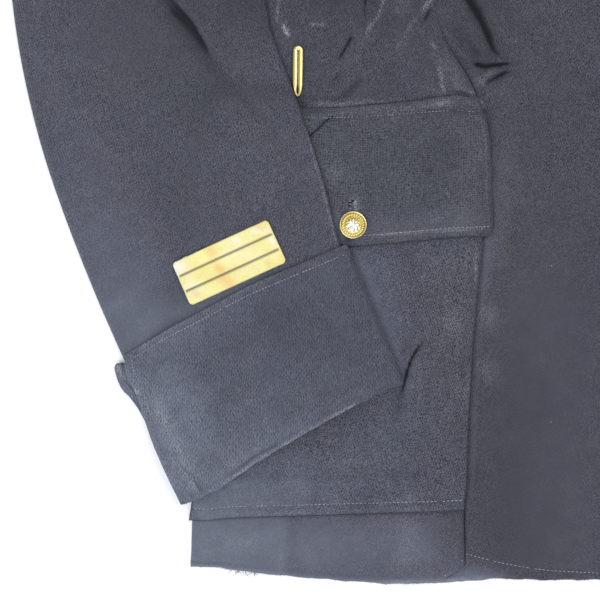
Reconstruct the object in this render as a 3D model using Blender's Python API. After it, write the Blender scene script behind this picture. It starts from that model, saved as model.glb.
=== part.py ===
"""Officer tunic, laid flat on its back on a table, sleeves over the fronts.

The garment is laid up as it would be on a table: back first, then fronts, pockets, flaps, sleeves and
cuffs. Each panel is a wall of cloth whose outline comes from a short table of rows, and whose height
comes from what already lies under it.

Tables are in millimetres. `out` is the distance from the centre-front line towards a side, so one table
serves the wearer's right (-X) and left (+X). y is 0 at the waist and grows towards the neck. z is 0 on
the table. The origin is the back's underside, at the centre of the waist.
"""
import math

import bmesh
import bpy
import numpy as np

# ---- Driving sizes, millimetres ----
GAP = 0.3                # between pieces that touch
BODY_CLOTH = 1.4         # back and fronts
POCKET_CLOTH = 1.2       # pocket and its gusset
FLAP_CLOTH = 2.0         # flap, two layers sewn together
SLEEVE_CLOTH = 1.3
CUFF_CLOTH = 2.0         # turned-back cuff, two layers
COLLAR_CLOTH = 2.0
LACE_BAR = 9.0           # one bar of the rank lace
LACE_LINE = 1.1          # the line between two bars
LACE_LONG = 66.0
LACE_CLOTH = 1.1
LACE_LINE_DEPTH = 0.35
LACE_CORNER = 2.2
PLEAT_RISE = 2 * (BODY_CLOTH + GAP)   # two more layers under the pressed pleat's edge
POCKET_BUTTON = 17.3     # diameters
FRONT_BUTTON = 22.0
FRONT_BUTTON_Y = (140.0, 72.0, 4.0, -64.0)
LAP = 22.0               # how far each front goes past the centre-front line
HOOK_WIRE = 2.3
HOOK_WIDE = 6.6
HOOK_TOP = (216.0, 14.0)              # out, y
HOOK_TIP = (214.6, -15.5)
GUSSET_WIDTH = 18.0
LEFT_SWING = math.radians(1.6)        # the left sleeve lies a little further out
SHOULDER = (230.0, 336.0)             # out, y of the shoulder tip

# Half of the back. y, half width.
BACK = (
    (-311, 283), (-281, 281), (-200, 278), (-100, 271), (-50, 261), (-20, 247), (0, 242),
    (50, 245), (100, 253), (150, 261), (190, 226), (240, 208), (290, 211), (335, 228),
    (352, 180), (368, 128), (384, 78), (392, 48),
)

# A front. y and out of its inner edge, out of the pleat's edge, y and out of its outer edge, share of the
# pleat's rise. The top row is the shoulder seam, and the last one is the hem.
FRONT = (
    # y_in  in   edge  y_out  out  rise
    (384,   74,  100,  335,  228,  0.00),
    (330,   51,  115,  290,  211,  0.00),
    (270,   25,  122,  240,  208,  0.00),
    (205,   -4,  130,  190,  226,  0.00),
    (160, -LAP,  135,  150,  260,  0.00),
    (95,  -LAP,  137,  95,   252,  0.00),
    (44,  -LAP,  136,  44,   244,  0.15),
    (20,  -LAP,  128,  20,   242,  0.40),
    (-9,  -LAP,  116,  -9,   244,  0.75),
    (-40, -LAP,  112,  -40,  258,  1.00),
    (-105,-LAP,  112,  -105, 271,  1.00),
    (-170,-LAP,  112,  -170, 276,  1.00),
    (-230,-LAP,  112,  -230, 280,  1.00),
    (-281,-LAP,  112,  -281, 282,  1.00),
    (-306,-LAP,  112,  -303, 283,  1.00),
    (-321,-LAP,  114,  -313, 284,  1.00),
)
FRONT_HEM_BOW = -5.0
FRONT_LINES = (8, 34, 62, 88)         # out of the front's lines between its inner edge and the pleat
# Lines across the pressed pleat: how far past its edge, share of its rise.
PLEAT_LINES = ((-1.2, 0.0), (0.0, 1.0), (20.0, 1.0), (32.0, 0.25), (56.0, 0.0))

# The lapel, folded back along the roll line. Share of the line from its lower end, width across.
ROLL_LOW = (-20.0, 162.0)
ROLL_HIGH = (72.0, 380.0)
LAPEL = ((0.02, 6), (0.25, 36), (0.50, 64), (0.74, 89), (0.79, 86), (0.86, 50), (0.97, 24))

# Half of the collar, from the nape to the gorge: its neck seam, then its outer edge. out, y.
COLLAR = (
    (0, 404, 0, 443), (30, 403, 46, 440), (56, 397, 92, 424), (73, 383, 119, 388),
    (66, 364, 112, 350), (60, 352, 103, 330),
)
STAND = ((0, 379, 0, 402), (28, 378, 30, 401), (49, 371, 56, 394))

# A pocket. y and out of its edge near the centre, y and out of its edge near the side.
POCKET = (
    (-31, 100, -31, 261), (-60, 99, -60, 265), (-100, 99, -100, 269), (-136, 102, -136, 273),
    (-180, 106, -180, 277), (-230, 109, -230, 280), (-265, 110, -265, 281), (-278, 111, -281, 282),
)
POCKET_HEM_BOW = -1.0

# A flap, as the pocket. Its seam is the first row.
FLAP = (
    (-21, 103, -26, 258), (-25, 101, -29, 259), (-34, 97, -36, 262), (-57, 94, -57, 266),
    (-80, 93, -80, 268), (-93, 92, -93, 269), (-105, 94, -105, 268),
)
FLAP_POINT = -7.0
BUTTONHOLE_OUT = 181.0
BUTTONHOLE_Y = (-83.0, -101.0)
BUTTONHOLE_WIDE = 3.2
FLAP_HOLE_CELL = (4, 3)               # row and line of the flap's cell that is the hole
POCKET_BUTTON_AT = (181.0, -98.0)     # out, y

# The gusset runs round the pocket's other three edges. out, y of its outer line, then which way its inner
# line lies, in gusset widths.
GUSSET = (
    (101.5, -36, 1, 0), (101, -100, 1, 0), (108, -180, 1, 0), (110.5, -230, 1, 0), (112.5, -276.5, 1, 1),
    (196, -279, 0, 1), (280, -279, -1, 1), (278.5, -230, -1, 0), (275.5, -180, -1, 0),
    (267.5, -100, -1, 0), (261.5, -36, -1, 0),
)

# A sleeve, rows across it from the armhole seam to the wrist. Inner end, then outer end. out, y.
SLEEVE = (
    (214, 190, 230, 336), (222, 165, 290, 322), (229, 135, 343, 283), (234, 105, 378, 228),
    (237, 75, 394, 165), (235, 50, 399, 105), (229, 20, 396, 55), (220, -4, 389, 5),
    (210, -37, 377, -46), (200, -71, 361, -94), (190.5, -108, 340, -147), (181, -131, 319.5, -193),
    (172, -153, 309, -221), (164, -173, 300, -241), (153.5, -196.5, 286.5, -270.5),
)
ARMHOLE_BOW = -14.0
UNDER_SLEEVE_INSET = 1.5

# A cuff, rows across it from its free top edge to its folded bottom edge, as the sleeve.
# The last two columns are the outer end of the layer underneath, which shows at the slit.
CUFF = (
    (185, -110, 324, -179, 330, -186), (176, -133, 319.5, -199, 323, -205),
    (168, -152, 311, -223, 311, -223), (159, -174, 302, -245, 302, -245),
    (149, -199, 287, -274, 287, -274),
)

# Soft folds that the sleeve keeps from the arm. From, to (out, y), height, width.
SLEEVE_FOLDS = (
    (300, 46, 246, -30, 2.2, 13), (318, 92, 262, 40, 2.6, 18), (352, 20, 300, -28, 1.4, 16),
    (250, 130, 330, 196, 2.4, 20), (238, 96, 300, 132, 1.8, 16),
)
# Folds above the pocket, where the front is caught up at the waist. As above.
FRONT_FOLDS = (
    (110, 60, 88, 8, 3.0, 12), (72, 10, 104, 0, 2.2, 9), (70, 34, 96, 26, 1.6, 9), (196, 36, 182, -2, 1.0, 7),
)

# Rank lace: the middle of the patch, and the direction that its bars run in.
LACE_AT = (258.0, -122.0)
LACE_ANGLE = math.radians(156.0)

# ---- Colours, linear RGB ----
CLOTH = (0.050, 0.056, 0.072)
CLOTH_INSIDE = (0.034, 0.037, 0.047)
GILT = (0.76, 0.50, 0.17)
LACE = (0.74, 0.68, 0.46)

CELL = 2.0               # of the height map
REACH_X = 480.0
REACH_Y = (-340.0, 470.0)


# ---- The pile: how high the cloth laid so far stands ----
class Pile:
    def __init__(self):
        across = int(2 * REACH_X / CELL)
        along = int((REACH_Y[1] - REACH_Y[0]) / CELL)
        self.height = np.zeros((across, along))

    def place(self, points):
        """Cell numbers of points."""
        i = ((points[..., 0] + REACH_X) / CELL).astype(int)
        j = ((points[..., 1] - REACH_Y[0]) / CELL).astype(int)
        return i, j

    def spread_height(self):
        """The height map, each cell raised to its highest neighbour."""
        h = np.pad(self.height, 1)
        wide, high = self.height.shape
        near = [h[a:a + wide, b:b + high] for a in range(3) for b in range(3)]
        return np.max(near, axis=0)

    def support(self, grid):
        """The height that each point of a grid needs, for its faces to clear all that lies under them."""
        h = self.spread_height()
        rows, cols = grid.shape[0] - 1, grid.shape[1] - 1
        need = np.zeros((rows + 1, cols + 1))
        for i in range(rows):
            for j in range(cols):
                spots = face_points(grid[i:i + 2, j:j + 2])
                top = h[self.place(spots)].max()
                corner = need[i:i + 2, j:j + 2]
                np.maximum(corner, top + GAP if top > 0 else 0.0, out=corner)
        return need

    def cover(self, grid, skip=()):
        """Adds a grid of top points."""
        for i in range(grid.shape[0] - 1):
            for j in range(grid.shape[1] - 1):
                if (i, j) not in skip:
                    spots = face_points(grid[i:i + 2, j:j + 2])
                    np.maximum.at(self.height, self.place(spots), spots[..., 2])


def face_points(cell):
    """Points spread over a grid cell's two triangles, closer than the height map's cells."""
    a, b, c, d = cell[0, 0], cell[1, 0], cell[1, 1], cell[0, 1]
    longest = max(np.linalg.norm((p - q)[:2]) for p, q in ((a, b), (b, c), (c, d), (d, a), (a, c)))
    steps = np.linspace(0.0, 1.0, max(2, math.ceil(longest / (0.7 * CELL)) + 1))
    u, v = (w[..., None] for w in np.meshgrid(steps, steps))
    near_b = a + u * (b - a) + v * (c - b)
    near_d = a + v * (d - a) + u * (c - d)
    return np.where(u >= v, near_b, near_d)


# ---- Grids of points ----
def smooth_rows(table, steps):
    """The table's rows with `steps` cells between each two, on smooth curves through their values."""
    t = np.array(table, float)
    before = np.vstack([2 * t[0] - t[1], t[:-1]])
    after = np.vstack([t[1:], 2 * t[-1] - t[-2]])
    slope = (after - before) / 2
    rows = []
    for k in range(len(t) - 1):
        for w in np.arange(steps) / steps:
            rows.append(
                (1 + 2 * w) * (1 - w) ** 2 * t[k] + w * (1 - w) ** 2 * slope[k]
                + w * w * (3 - 2 * w) * t[k + 1] - w * w * (1 - w) * slope[k + 1]
            )
    return np.array([*rows, t[-1]])


def across(start, end, shares, bow=None):
    """A grid with one line of points for each row, from start to end, at the given shares of the way.

    bow moves the middle of each row sideways."""
    start, end = np.asarray(start, float), np.asarray(end, float)
    shares = np.broadcast_to(shares, (len(start), np.shape(shares)[-1]))[..., None]
    grid = start[:, None] * (1 - shares) + end[:, None] * shares
    if bow is not None:
        along = end - start
        side = np.stack([-along[:, 1], along[:, 0]], axis=1)
        side /= np.linalg.norm(side, axis=1)[:, None]
        curve = 4 * shares * (1 - shares)
        grid = grid + side[:, None] * curve * np.asarray(bow, float)[:, None, None]
    return grid


def lifted(grid, folds):
    """How far soft folds raise each point of a grid."""
    rise = np.zeros(grid.shape[:2])
    for x0, y0, x1, y1, height, width in folds:
        a = np.array([x0, y0], float)
        run = np.array([x1, y1], float) - a
        long = np.linalg.norm(run)
        local = grid[..., :2] - a
        share = (local @ run) / long ** 2
        off = np.abs(local[..., 0] * run[1] - local[..., 1] * run[0]) / long
        ends = np.clip(np.minimum(share, 1 - share) * 4 + 0.3, 0.0, 1.0)
        rise += height * ends * np.exp(-(off / width) ** 2)
    return rise


def eased(height, times):
    """Heights bridged over their hollows, as stiff cloth does. No point is lowered."""
    for _ in range(times):
        h = np.pad(height, 1, mode="edge")
        around = (h[:-2, 1:-1] + h[2:, 1:-1] + h[1:-1, :-2] + h[1:-1, 2:]) / 4
        height = np.maximum(height, 0.5 * (height + around))
    return height


def with_height(grid, height):
    return np.concatenate([grid[..., :2], height[..., None]], axis=2)


def sided(grid, side):
    """A grid given in out and y, on the wearer's right (side -1) or left (+1)."""
    moved = grid.copy()
    moved[..., 0] *= side
    return moved


def swung(grid, side):
    """The left sleeve's points turned about its shoulder tip."""
    if side < 0:
        return grid
    local = grid - np.array(SHOULDER)
    c, s = math.cos(LEFT_SWING), math.sin(LEFT_SWING)
    return np.stack([local[..., 0] * c - local[..., 1] * s, local[..., 0] * s + local[..., 1] * c],
                    axis=2) + np.array(SHOULDER)


# ---- Meshes ----
def material(name, colour, rough, metallic=0.0):
    made = bpy.data.materials.new(name)
    made.use_nodes = True
    shader = made.node_tree.nodes["Principled BSDF"]
    shader.inputs["Base Color"].default_value = (*colour, 1.0)
    shader.inputs["Roughness"].default_value = rough
    shader.inputs["Metallic"].default_value = metallic
    made.diffuse_color = (*colour, 1.0)
    return made


def add_object(name, mesh_data, colour, rough, metallic=0.0, smooth=False):
    """An object from a bmesh in millimetres, with a material of its own."""
    bmesh.ops.scale(mesh_data, vec=(0.001, 0.001, 0.001), verts=mesh_data.verts)
    bmesh.ops.recalc_face_normals(mesh_data, faces=mesh_data.faces)
    mesh = bpy.data.meshes.new(name)
    mesh_data.to_mesh(mesh)
    mesh_data.free()
    if smooth:
        mesh.shade_smooth()
        mesh.set_sharp_from_angle(angle=math.radians(35))
    made = bpy.data.objects.new(name, mesh)
    mesh.materials.append(material(name + "_finish", colour, rough, metallic))
    bpy.context.collection.objects.link(made)
    return made


def add_wall(name, outer, inner, colour, skip=()):
    """A closed wall of cloth between two grids of the same cells, with a rim round each open edge."""
    built = bmesh.new()
    rows, cols = outer.shape[0] - 1, outer.shape[1] - 1
    kept = [(i, j) for i in range(rows) for j in range(cols) if (i, j) not in skip]
    used = {(i + a, j + b) for i, j in kept for a in (0, 1) for b in (0, 1)}
    over = {k: built.verts.new(outer[k]) for k in sorted(used)}
    under = {k: built.verts.new(inner[k]) for k in sorted(used)}
    edges = {}
    for i, j in kept:
        a, b, c, d = (i, j), (i + 1, j), (i + 1, j + 1), (i, j + 1)
        for corners in ((a, b, c), (a, c, d)):
            built.faces.new([over[k] for k in corners])
            built.faces.new([under[k] for k in reversed(corners)])
        for p, q in ((a, b), (b, c), (c, d), (d, a)):
            edges[p, q] = edges.get((q, p), 0) + 1
    for p, q in edges:
        if (q, p) not in edges:
            built.faces.new([over[q], over[p], under[p]])
            built.faces.new([over[q], under[p], under[q]])
    return add_object(name, built, colour, 0.9)


def lay(pile, name, plan, thick, colour=CLOTH, folds=(), rise=0.0, ease=1, skip=()):
    """Lays a panel on the pile, on its plan of points, and adds it. rise thickens it."""
    bottom = eased(pile.support(plan), ease)
    bottom = bottom + lifted(plan, folds)
    under = with_height(plan, bottom)
    over = with_height(plan, bottom + thick + rise)
    add_wall(name, over, under, colour, skip)
    pile.cover(over, skip)


# ---- Panels ----
def build_back(pile):
    y, half = smooth_rows(BACK, 1).T
    plan = across(np.stack([-half, y], 1), np.stack([half, y], 1), np.linspace(0, 1, 5))
    lay(pile, "back", plan, BODY_CLOTH, CLOTH_INSIDE)


def shares_at(inner, outer, places):
    """How far each place lies on the way from inner to outer, row by row."""
    lines = [np.broadcast_to((place - inner) / (outer - inner), inner.shape) for place in places]
    return np.stack(lines, axis=1)


def on_side(folds, side):
    return [(side * x0, y0, side * x1, y1, height, width) for x0, y0, x1, y1, height, width in folds]


def build_front(pile, name, side):
    y_in, inner, edge, y_out, outer, share = smooth_rows(FRONT, 1).T
    past, profile = np.array(PLEAT_LINES).T
    places = [inner, *FRONT_LINES, *(edge + p for p in past), outer]
    shares = shares_at(inner, outer, places)
    above_opening = inner > FRONT_LINES[0] - LAP
    shares[above_opening] = np.linspace(0, 1, len(places))
    bow = np.zeros(len(inner))
    bow[-1] = FRONT_HEM_BOW
    plan = across(np.stack([inner, y_in], 1), np.stack([outer, y_out], 1), shares, bow)
    rise = np.zeros(shares.shape)
    rise[:, 1 + len(FRONT_LINES):-1] = share[:, None] * profile * PLEAT_RISE
    lay(pile, name, sided(plan, side), BODY_CLOTH, rise=rise, folds=on_side(FRONT_FOLDS, side))


def build_lapel(pile, name, side):
    low, high = np.array(ROLL_LOW), np.array(ROLL_HIGH)
    along = (high - low) / np.linalg.norm(high - low)
    out = np.array([along[1], -along[0]])
    share, width = smooth_rows(LAPEL, 2).T
    start = low + share[:, None] * (high - low)
    plan = across(start, start + width[:, None] * out, np.linspace(0, 1, 4))
    lay(pile, name, sided(plan, side), COLLAR_CLOTH, ease=2)


def build_neck(pile, name, table, colour):
    """A band round the neck, from one front to the other."""
    half = smooth_rows(table, 2)
    mirrored = half[:0:-1] * np.array([-1, 1, -1, 1])
    rows = np.vstack([mirrored, half])
    plan = across(rows[:, :2], rows[:, 2:], np.linspace(0, 1, 4))
    lay(pile, name, plan, COLLAR_CLOTH, colour, ease=2)


def build_gusset(pile, name, side):
    rows = np.array(GUSSET, float)
    outer, inward = rows[:, :2], rows[:, 2:]
    plan = across(outer, outer + GUSSET_WIDTH * inward, np.linspace(0, 1, 3))
    lay(pile, name, sided(plan, side), POCKET_CLOTH, ease=0)


def build_pocket(pile, name, side):
    y_in, inner, y_out, outer = smooth_rows(POCKET, 1).T
    bow = np.zeros(len(inner))
    bow[-1] = POCKET_HEM_BOW
    plan = across(np.stack([inner, y_in], 1), np.stack([outer, y_out], 1), np.linspace(0, 1, 9), bow)
    lay(pile, name, sided(plan, side), POCKET_CLOTH, ease=2)


def build_flap(pile, name, side):
    y_in, inner, y_out, outer = smooth_rows(FLAP, 1).T
    wide, half = outer - inner, BUTTONHOLE_WIDE / 2
    places = [inner, inner + 0.12 * wide, inner + 0.3 * wide, BUTTONHOLE_OUT - half,
              BUTTONHOLE_OUT + half, inner + 0.68 * wide, inner + 0.85 * wide, outer]
    bow = FLAP_POINT * np.linspace(0, 1, len(inner)) ** 2
    shares = shares_at(inner, outer, places)
    plan = across(np.stack([inner, y_in], 1), np.stack([outer, y_out], 1), shares, bow)
    row, line = FLAP_HOLE_CELL
    for k, y in enumerate(BUTTONHOLE_Y):      # the rows on both sides of the hole pass its ends
        plan[row + k, :, 1] += y - plan[row + k, line, 1]
    lay(pile, name, sided(plan, side), FLAP_CLOTH, ease=2, skip={FLAP_HOLE_CELL})


def sleeve_plan(side, inset):
    rows = smooth_rows(SLEEVE, 1)
    bow = np.zeros(len(rows))
    bow[0] = ARMHOLE_BOW
    bow[1] = ARMHOLE_BOW / 2
    start, end = rows[:, :2], rows[:, 2:]
    long = np.linalg.norm(end - start, axis=1)[:, None]
    trim = inset * (end - start) / long
    plan = across(start + trim, end - trim, np.linspace(0, 1, 8), -bow)
    return sided(swung(plan, side), side)


def build_sleeve(pile, name, side, inset, folds):
    lay(pile, name, sleeve_plan(side, inset), SLEEVE_CLOTH, ease=2, folds=on_side(folds, side))


def cuff_plan(side, trim, columns):
    """One layer of a cuff. trim takes it in from the folded inner edge, columns picks its outer end."""
    rows = smooth_rows(CUFF, 2)
    start, end = rows[:, :2], rows[:, columns]
    step = trim * (end - start) / np.linalg.norm(end - start, axis=1)[:, None]
    plan = across(start + step, end, np.linspace(0, 1, 7))
    return sided(swung(plan, side), side)


def build_cuff_under(pile, side):
    """The cuff's layer under the sleeve. Returns its underside and its top."""
    outer_plan = cuff_plan(side, 0.0, slice(4, 6))
    inner_plan = cuff_plan(side, CUFF_CLOTH, slice(4, 6))
    bottom = eased(pile.support(outer_plan), 2)
    under = with_height(outer_plan, bottom)
    over = with_height(inner_plan, bottom + CUFF_CLOTH)
    pile.cover(with_height(outer_plan, bottom + CUFF_CLOTH))
    return under, over


def build_cuff(pile, name, side, low):
    """The whole cuff: the layer underneath, the fold at its inner edge, and the layer on top."""
    low_outer, low_inner = low
    outer_plan = cuff_plan(side, 0.0, slice(2, 4))
    inner_plan = cuff_plan(side, CUFF_CLOTH, slice(2, 4))
    bottom = eased(pile.support(outer_plan), 2)
    high_outer = with_height(outer_plan, bottom + CUFF_CLOTH)
    high_inner = with_height(inner_plan, bottom)
    outer = np.concatenate([low_outer[:, ::-1], high_outer], axis=1)
    inner = np.concatenate([low_inner[:, ::-1], high_inner], axis=1)
    add_wall(name, outer, inner, CLOTH)
    pile.cover(high_outer)


def build_lace(pile, name, side):
    """Three bars woven as one patch, with a shallow line between each two and rounded corners."""
    wide = 3 * LACE_BAR + 2 * LACE_LINE
    slope = 0.15
    rows = [(0.0, 0), (LACE_CORNER * 0.3, 0), (LACE_CORNER, 0)]
    for k in (1, 2):
        line = k * LACE_BAR + (k - 1) * LACE_LINE
        rows += [(line, 0), (line + slope, 1), (line + LACE_LINE - slope, 1), (line + LACE_LINE, 0)]
    rows += [(wide - LACE_CORNER, 0), (wide - LACE_CORNER * 0.3, 0), (wide, 0)]
    v, sunk = np.array(rows, float).T
    into = np.maximum(LACE_CORNER - np.minimum(v, wide - v), 0)
    inset = LACE_CORNER - np.sqrt(LACE_CORNER ** 2 - into ** 2)
    start = np.stack([inset - LACE_LONG / 2, v - wide / 2], 1)
    end = np.stack([LACE_LONG / 2 - inset, v - wide / 2], 1)
    flat = across(start, end, np.linspace(0, 1, 6))
    c, s = math.cos(LACE_ANGLE), math.sin(LACE_ANGLE)
    turned = np.stack([flat[..., 0] * c - flat[..., 1] * s, flat[..., 0] * s + flat[..., 1] * c], 2)
    plan = sided(swung(turned + np.array(LACE_AT), side), side)
    bottom = eased(pile.support(plan), 1)
    over = with_height(plan, bottom + LACE_CLOTH - LACE_LINE_DEPTH * sunk[:, None])
    add_wall(name, over, with_height(plan, bottom), LACE)
    pile.cover(over)


# ---- Metal pieces ----
def turned(profile, segments):
    """A bmesh of a profile of (radius, height) turned about Z. The profile starts and ends on the axis."""
    built = bmesh.new()
    rings = []
    for radius, height in profile:
        if radius == 0:
            rings.append([built.verts.new((0, 0, height))])
            continue
        turns = [2 * math.pi * k / segments for k in range(segments)]
        rings.append([built.verts.new((radius * math.cos(a), radius * math.sin(a), height)) for a in turns])
    for low, high in zip(rings, rings[1:]):
        for k in range(segments):
            n = (k + 1) % segments
            corners = [low[k % len(low)], low[n % len(low)], high[n % len(high)], high[k % len(high)]]
            built.faces.new(list(dict.fromkeys(corners)))
    return built


def build_button(name, out, y, seat, top, across_mm):
    """A domed uniform button with a raised rim. Its shank goes through the buttonhole down to the seat."""
    radius = across_mm / 2
    shank = 1.2
    thick = 0.22 * across_mm
    dome = [(radius * 0.82 * math.cos(a), top + thick * (0.62 + 0.38 * math.sin(a)))
            for a in np.radians([0, 22, 45, 68])]
    profile = [
        (0, seat), (shank, seat), (shank, top + 0.12 * thick), (radius * 0.8, top + 0.12 * thick),
        (radius * 0.97, top + 0.3 * thick), (radius, top + 0.5 * thick), (radius * 0.96, top + 0.68 * thick),
        (radius * 0.88, top + 0.68 * thick), *dome, (0, top + thick),
    ]
    built = turned(profile, 28)
    bmesh.ops.translate(built, vec=(out, y, 0), verts=built.verts)
    add_object(name, built, GILT, 0.3, 1.0, smooth=True)


def build_hook(name, side, seat):
    """A belt hook: one gilt wire bent double, round at the top and closed to a point at its tip."""
    half = (HOOK_WIDE - HOOK_WIRE) / 2
    top, tip = np.array(HOOK_TOP), np.array(HOOK_TIP)
    long = np.linalg.norm(top - tip)
    down = (tip - top) / long
    across_it = np.array([-down[1], down[0]])
    bend = [math.radians(a) for a in (0, 30, 60, 90, 120, 150, 180)]
    route = [(half * math.cos(a), half + HOOK_WIRE / 2 - half * math.sin(a)) for a in bend]
    route += [(-half, 0.74 * long), (-0.55 * half, 0.9 * long), (0.0, long - HOOK_WIRE / 2),
              (0.55 * half, 0.9 * long), (half, 0.74 * long)]
    built = bmesh.new()
    middle = np.array([top + u * across_it + v * down for u, v in route])
    sides = 8
    rings = []
    for k in range(len(middle)):
        run = middle[(k + 1) % len(middle)] - middle[k - 1]
        run /= np.linalg.norm(run)
        normal = np.array([-run[1], run[0]])
        ring = []
        for a in np.arange(sides) * 2 * math.pi / sides + math.pi / sides:
            flat = middle[k] + normal * (HOOK_WIRE / 2) * math.cos(a)
            ring.append(built.verts.new((side * flat[0], flat[1], seat + HOOK_WIRE / 2 * (1 + math.sin(a)))))
        rings.append(ring)
    for k, ring in enumerate(rings):
        ahead = rings[(k + 1) % len(rings)]
        for a in range(sides):
            b = (a + 1) % sides
            built.faces.new([ring[a], ring[b], ahead[b], ahead[a]])
    add_object(name, built, GILT, 0.3, 1.0, smooth=True)


# ---- The garment ----
def top_near(pile, out, y, reach):
    """The pile's height within `reach` of a place."""
    steps = np.arange(-reach, reach + 1.0, 1.0)
    x, v = np.meshgrid(out + steps, y + steps)
    return pile.height[pile.place(np.stack([x, v], 2))].max()


def build():
    for old in list(bpy.data.objects):
        bpy.data.objects.remove(old, do_unlink=True)
    pile = Pile()
    names = {-1: "right", 1: "left"}
    build_back(pile)
    for side in (-1, 1):
        build_front(pile, "front_" + names[side], side)
    build_neck(pile, "collar_stand", STAND, CLOTH_INSIDE)
    for side in (-1, 1):
        build_lapel(pile, "lapel_" + names[side], side)
    build_neck(pile, "collar", COLLAR, CLOTH)
    for k, y in enumerate(FRONT_BUTTON_Y):
        top = top_near(pile, 0.0, y, FRONT_BUTTON / 2)
        build_button(f"button_front_{k + 1}", 0.0, y, top + GAP, top + GAP, FRONT_BUTTON)
    for side in (-1, 1):
        word = names[side]
        hook_top = top_near(pile, side * HOOK_TOP[0], -1.0, 14.0)
        build_hook("belt_hook_" + word, side, hook_top + GAP)
        build_gusset(pile, "gusset_" + word, side)
        build_pocket(pile, "pocket_" + word, side)
        out, y = POCKET_BUTTON_AT
        seat = top_near(pile, side * out, y, 3.0)
        build_flap(pile, "flap_" + word, side)
        top = top_near(pile, side * out, y, POCKET_BUTTON / 2)
        build_button("button_pocket_" + word, side * out, y, seat + GAP, top + GAP, POCKET_BUTTON)
        low = build_cuff_under(pile, side)
        build_sleeve(pile, "sleeve_under_" + word, side, UNDER_SLEEVE_INSET, ())
        build_sleeve(pile, "sleeve_top_" + word, side, 0.0, SLEEVE_FOLDS)
        build_cuff(pile, "cuff_" + word, side, low)
        build_lace(pile, "rank_lace_" + word, side)


build()
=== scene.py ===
"""Officer tunic, laid flat: the finish of every piece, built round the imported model.

Each panel of cloth is a thin shell on a dense grid of points, laid on the pieces under it as in the
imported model. Tables are in millimetres. `out` is the distance from the centre-front line towards a side,
so a table serves the wearer's right (side -1) and left (side +1). y grows from the waist to the neck.
"""
import math

import bpy
import numpy as np
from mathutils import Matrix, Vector


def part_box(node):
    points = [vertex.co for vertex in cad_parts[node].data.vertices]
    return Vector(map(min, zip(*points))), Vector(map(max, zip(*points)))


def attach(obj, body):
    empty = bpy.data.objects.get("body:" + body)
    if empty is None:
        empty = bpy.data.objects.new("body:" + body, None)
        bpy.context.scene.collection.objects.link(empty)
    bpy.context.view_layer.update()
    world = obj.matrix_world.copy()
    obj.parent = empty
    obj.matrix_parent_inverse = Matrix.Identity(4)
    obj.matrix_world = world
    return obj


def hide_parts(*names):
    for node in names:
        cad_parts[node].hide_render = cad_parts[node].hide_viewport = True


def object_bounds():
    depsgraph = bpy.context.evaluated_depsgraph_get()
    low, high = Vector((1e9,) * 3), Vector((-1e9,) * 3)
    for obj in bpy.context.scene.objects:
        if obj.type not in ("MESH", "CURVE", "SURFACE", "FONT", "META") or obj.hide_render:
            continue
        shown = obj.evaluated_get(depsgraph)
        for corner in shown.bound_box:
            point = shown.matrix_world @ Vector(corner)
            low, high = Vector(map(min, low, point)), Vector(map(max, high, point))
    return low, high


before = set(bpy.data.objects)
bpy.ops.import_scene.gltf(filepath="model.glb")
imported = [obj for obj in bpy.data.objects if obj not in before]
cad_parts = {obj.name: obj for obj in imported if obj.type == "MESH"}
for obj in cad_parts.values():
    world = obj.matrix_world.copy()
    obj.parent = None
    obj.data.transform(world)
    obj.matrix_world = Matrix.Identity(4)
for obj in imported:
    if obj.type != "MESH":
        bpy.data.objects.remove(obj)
CAD_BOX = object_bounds()

MM = 0.001
GAP = 0.3                     # between a panel and what it lies on
CELL = 1.0                    # of the pile's height map
FINE = 0.8                    # how close points lie when they are drawn on that map
FULL_HOLLOW = 1.2             # how deep a hollow is where its painted shade is darkest
CURVE_STEPS = 10              # between two points of a fold's or a mark's line
FOLD_EASE = 0.35
RIGHT, LEFT = -1, 1
WORD = {RIGHT: "right", LEFT: "left"}
RANDOM = np.random.default_rng(7)

# Spacing of the panels' points, closer on the right side, which is the one seen from close by.
BACK_CELL, NECK_CELL, GUSSET_CELL, UNDER_SLEEVE_CELL, LACE_CELL = 9.0, 2.6, 4.5, 7.0, 0.75
FRONT_ROWS = 5.4
FRONT_WAIST_ROWS = {RIGHT: (50, -30, 1.2), LEFT: None}      # from y, to y, spacing
FRONT_CELLS = {RIGHT: (1.25, 1.5), LEFT: (4.8, 4.8)}        # inside the pleat and outside it
POCKET_CELL = {RIGHT: 1.5, LEFT: 3.2}
FLAP_CELL = {RIGHT: 0.85, LEFT: 2.2}
SLEEVE_CELL = {RIGHT: 1.95, LEFT: 3.6}
CUFF_CELL = {RIGHT: 1.7, LEFT: 3.0}

# ---- Cloth, millimetres ----
BODY_CLOTH = 1.4
POCKET_CLOTH = 1.2
FLAP_CLOTH = 2.0
SLEEVE_CLOTH = 1.3
CUFF_CLOTH = 2.0
COLLAR_CLOTH = 2.0
STITCH_IN = 5.2               # the usual distance of a seam row from its edge
POCKET_STITCH = 7.2
FLAP_TOP_STITCH, FLAP_LOW_STITCH, FLAP_SIDE_STITCH = 6.9, 6.4, 4.0
PLEAT_RISE = 2.6
LEFT_SWING = math.radians(1.6)
SHOULDER = np.array((230.0, 336.0))


def sewn_edge(at):
    """Distances from a stitched edge at which a panel has lines of points; the seam row is `at` mm in."""
    return (0, 0.25, 0.6, 1.1, *np.linspace(1.8, at - 0.7, max(2, round((at - 1.6) / 0.9))),
            at - 0.3, at, at + 0.3, at + 0.7, at + 1.6)


# Distances from an edge at which a panel has lines of points.
SEWN_EDGE = sewn_edge(STITCH_IN)
PLAIN_EDGE = (0, 0.25, 0.6, 1.1, 1.8, 2.8, 4.2)
FOLD_EDGE = (0, 0.4, 0.8, 1.3, 2.0, 3.0, 4.5)
HIDDEN_EDGE = (0, 1.0)

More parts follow.
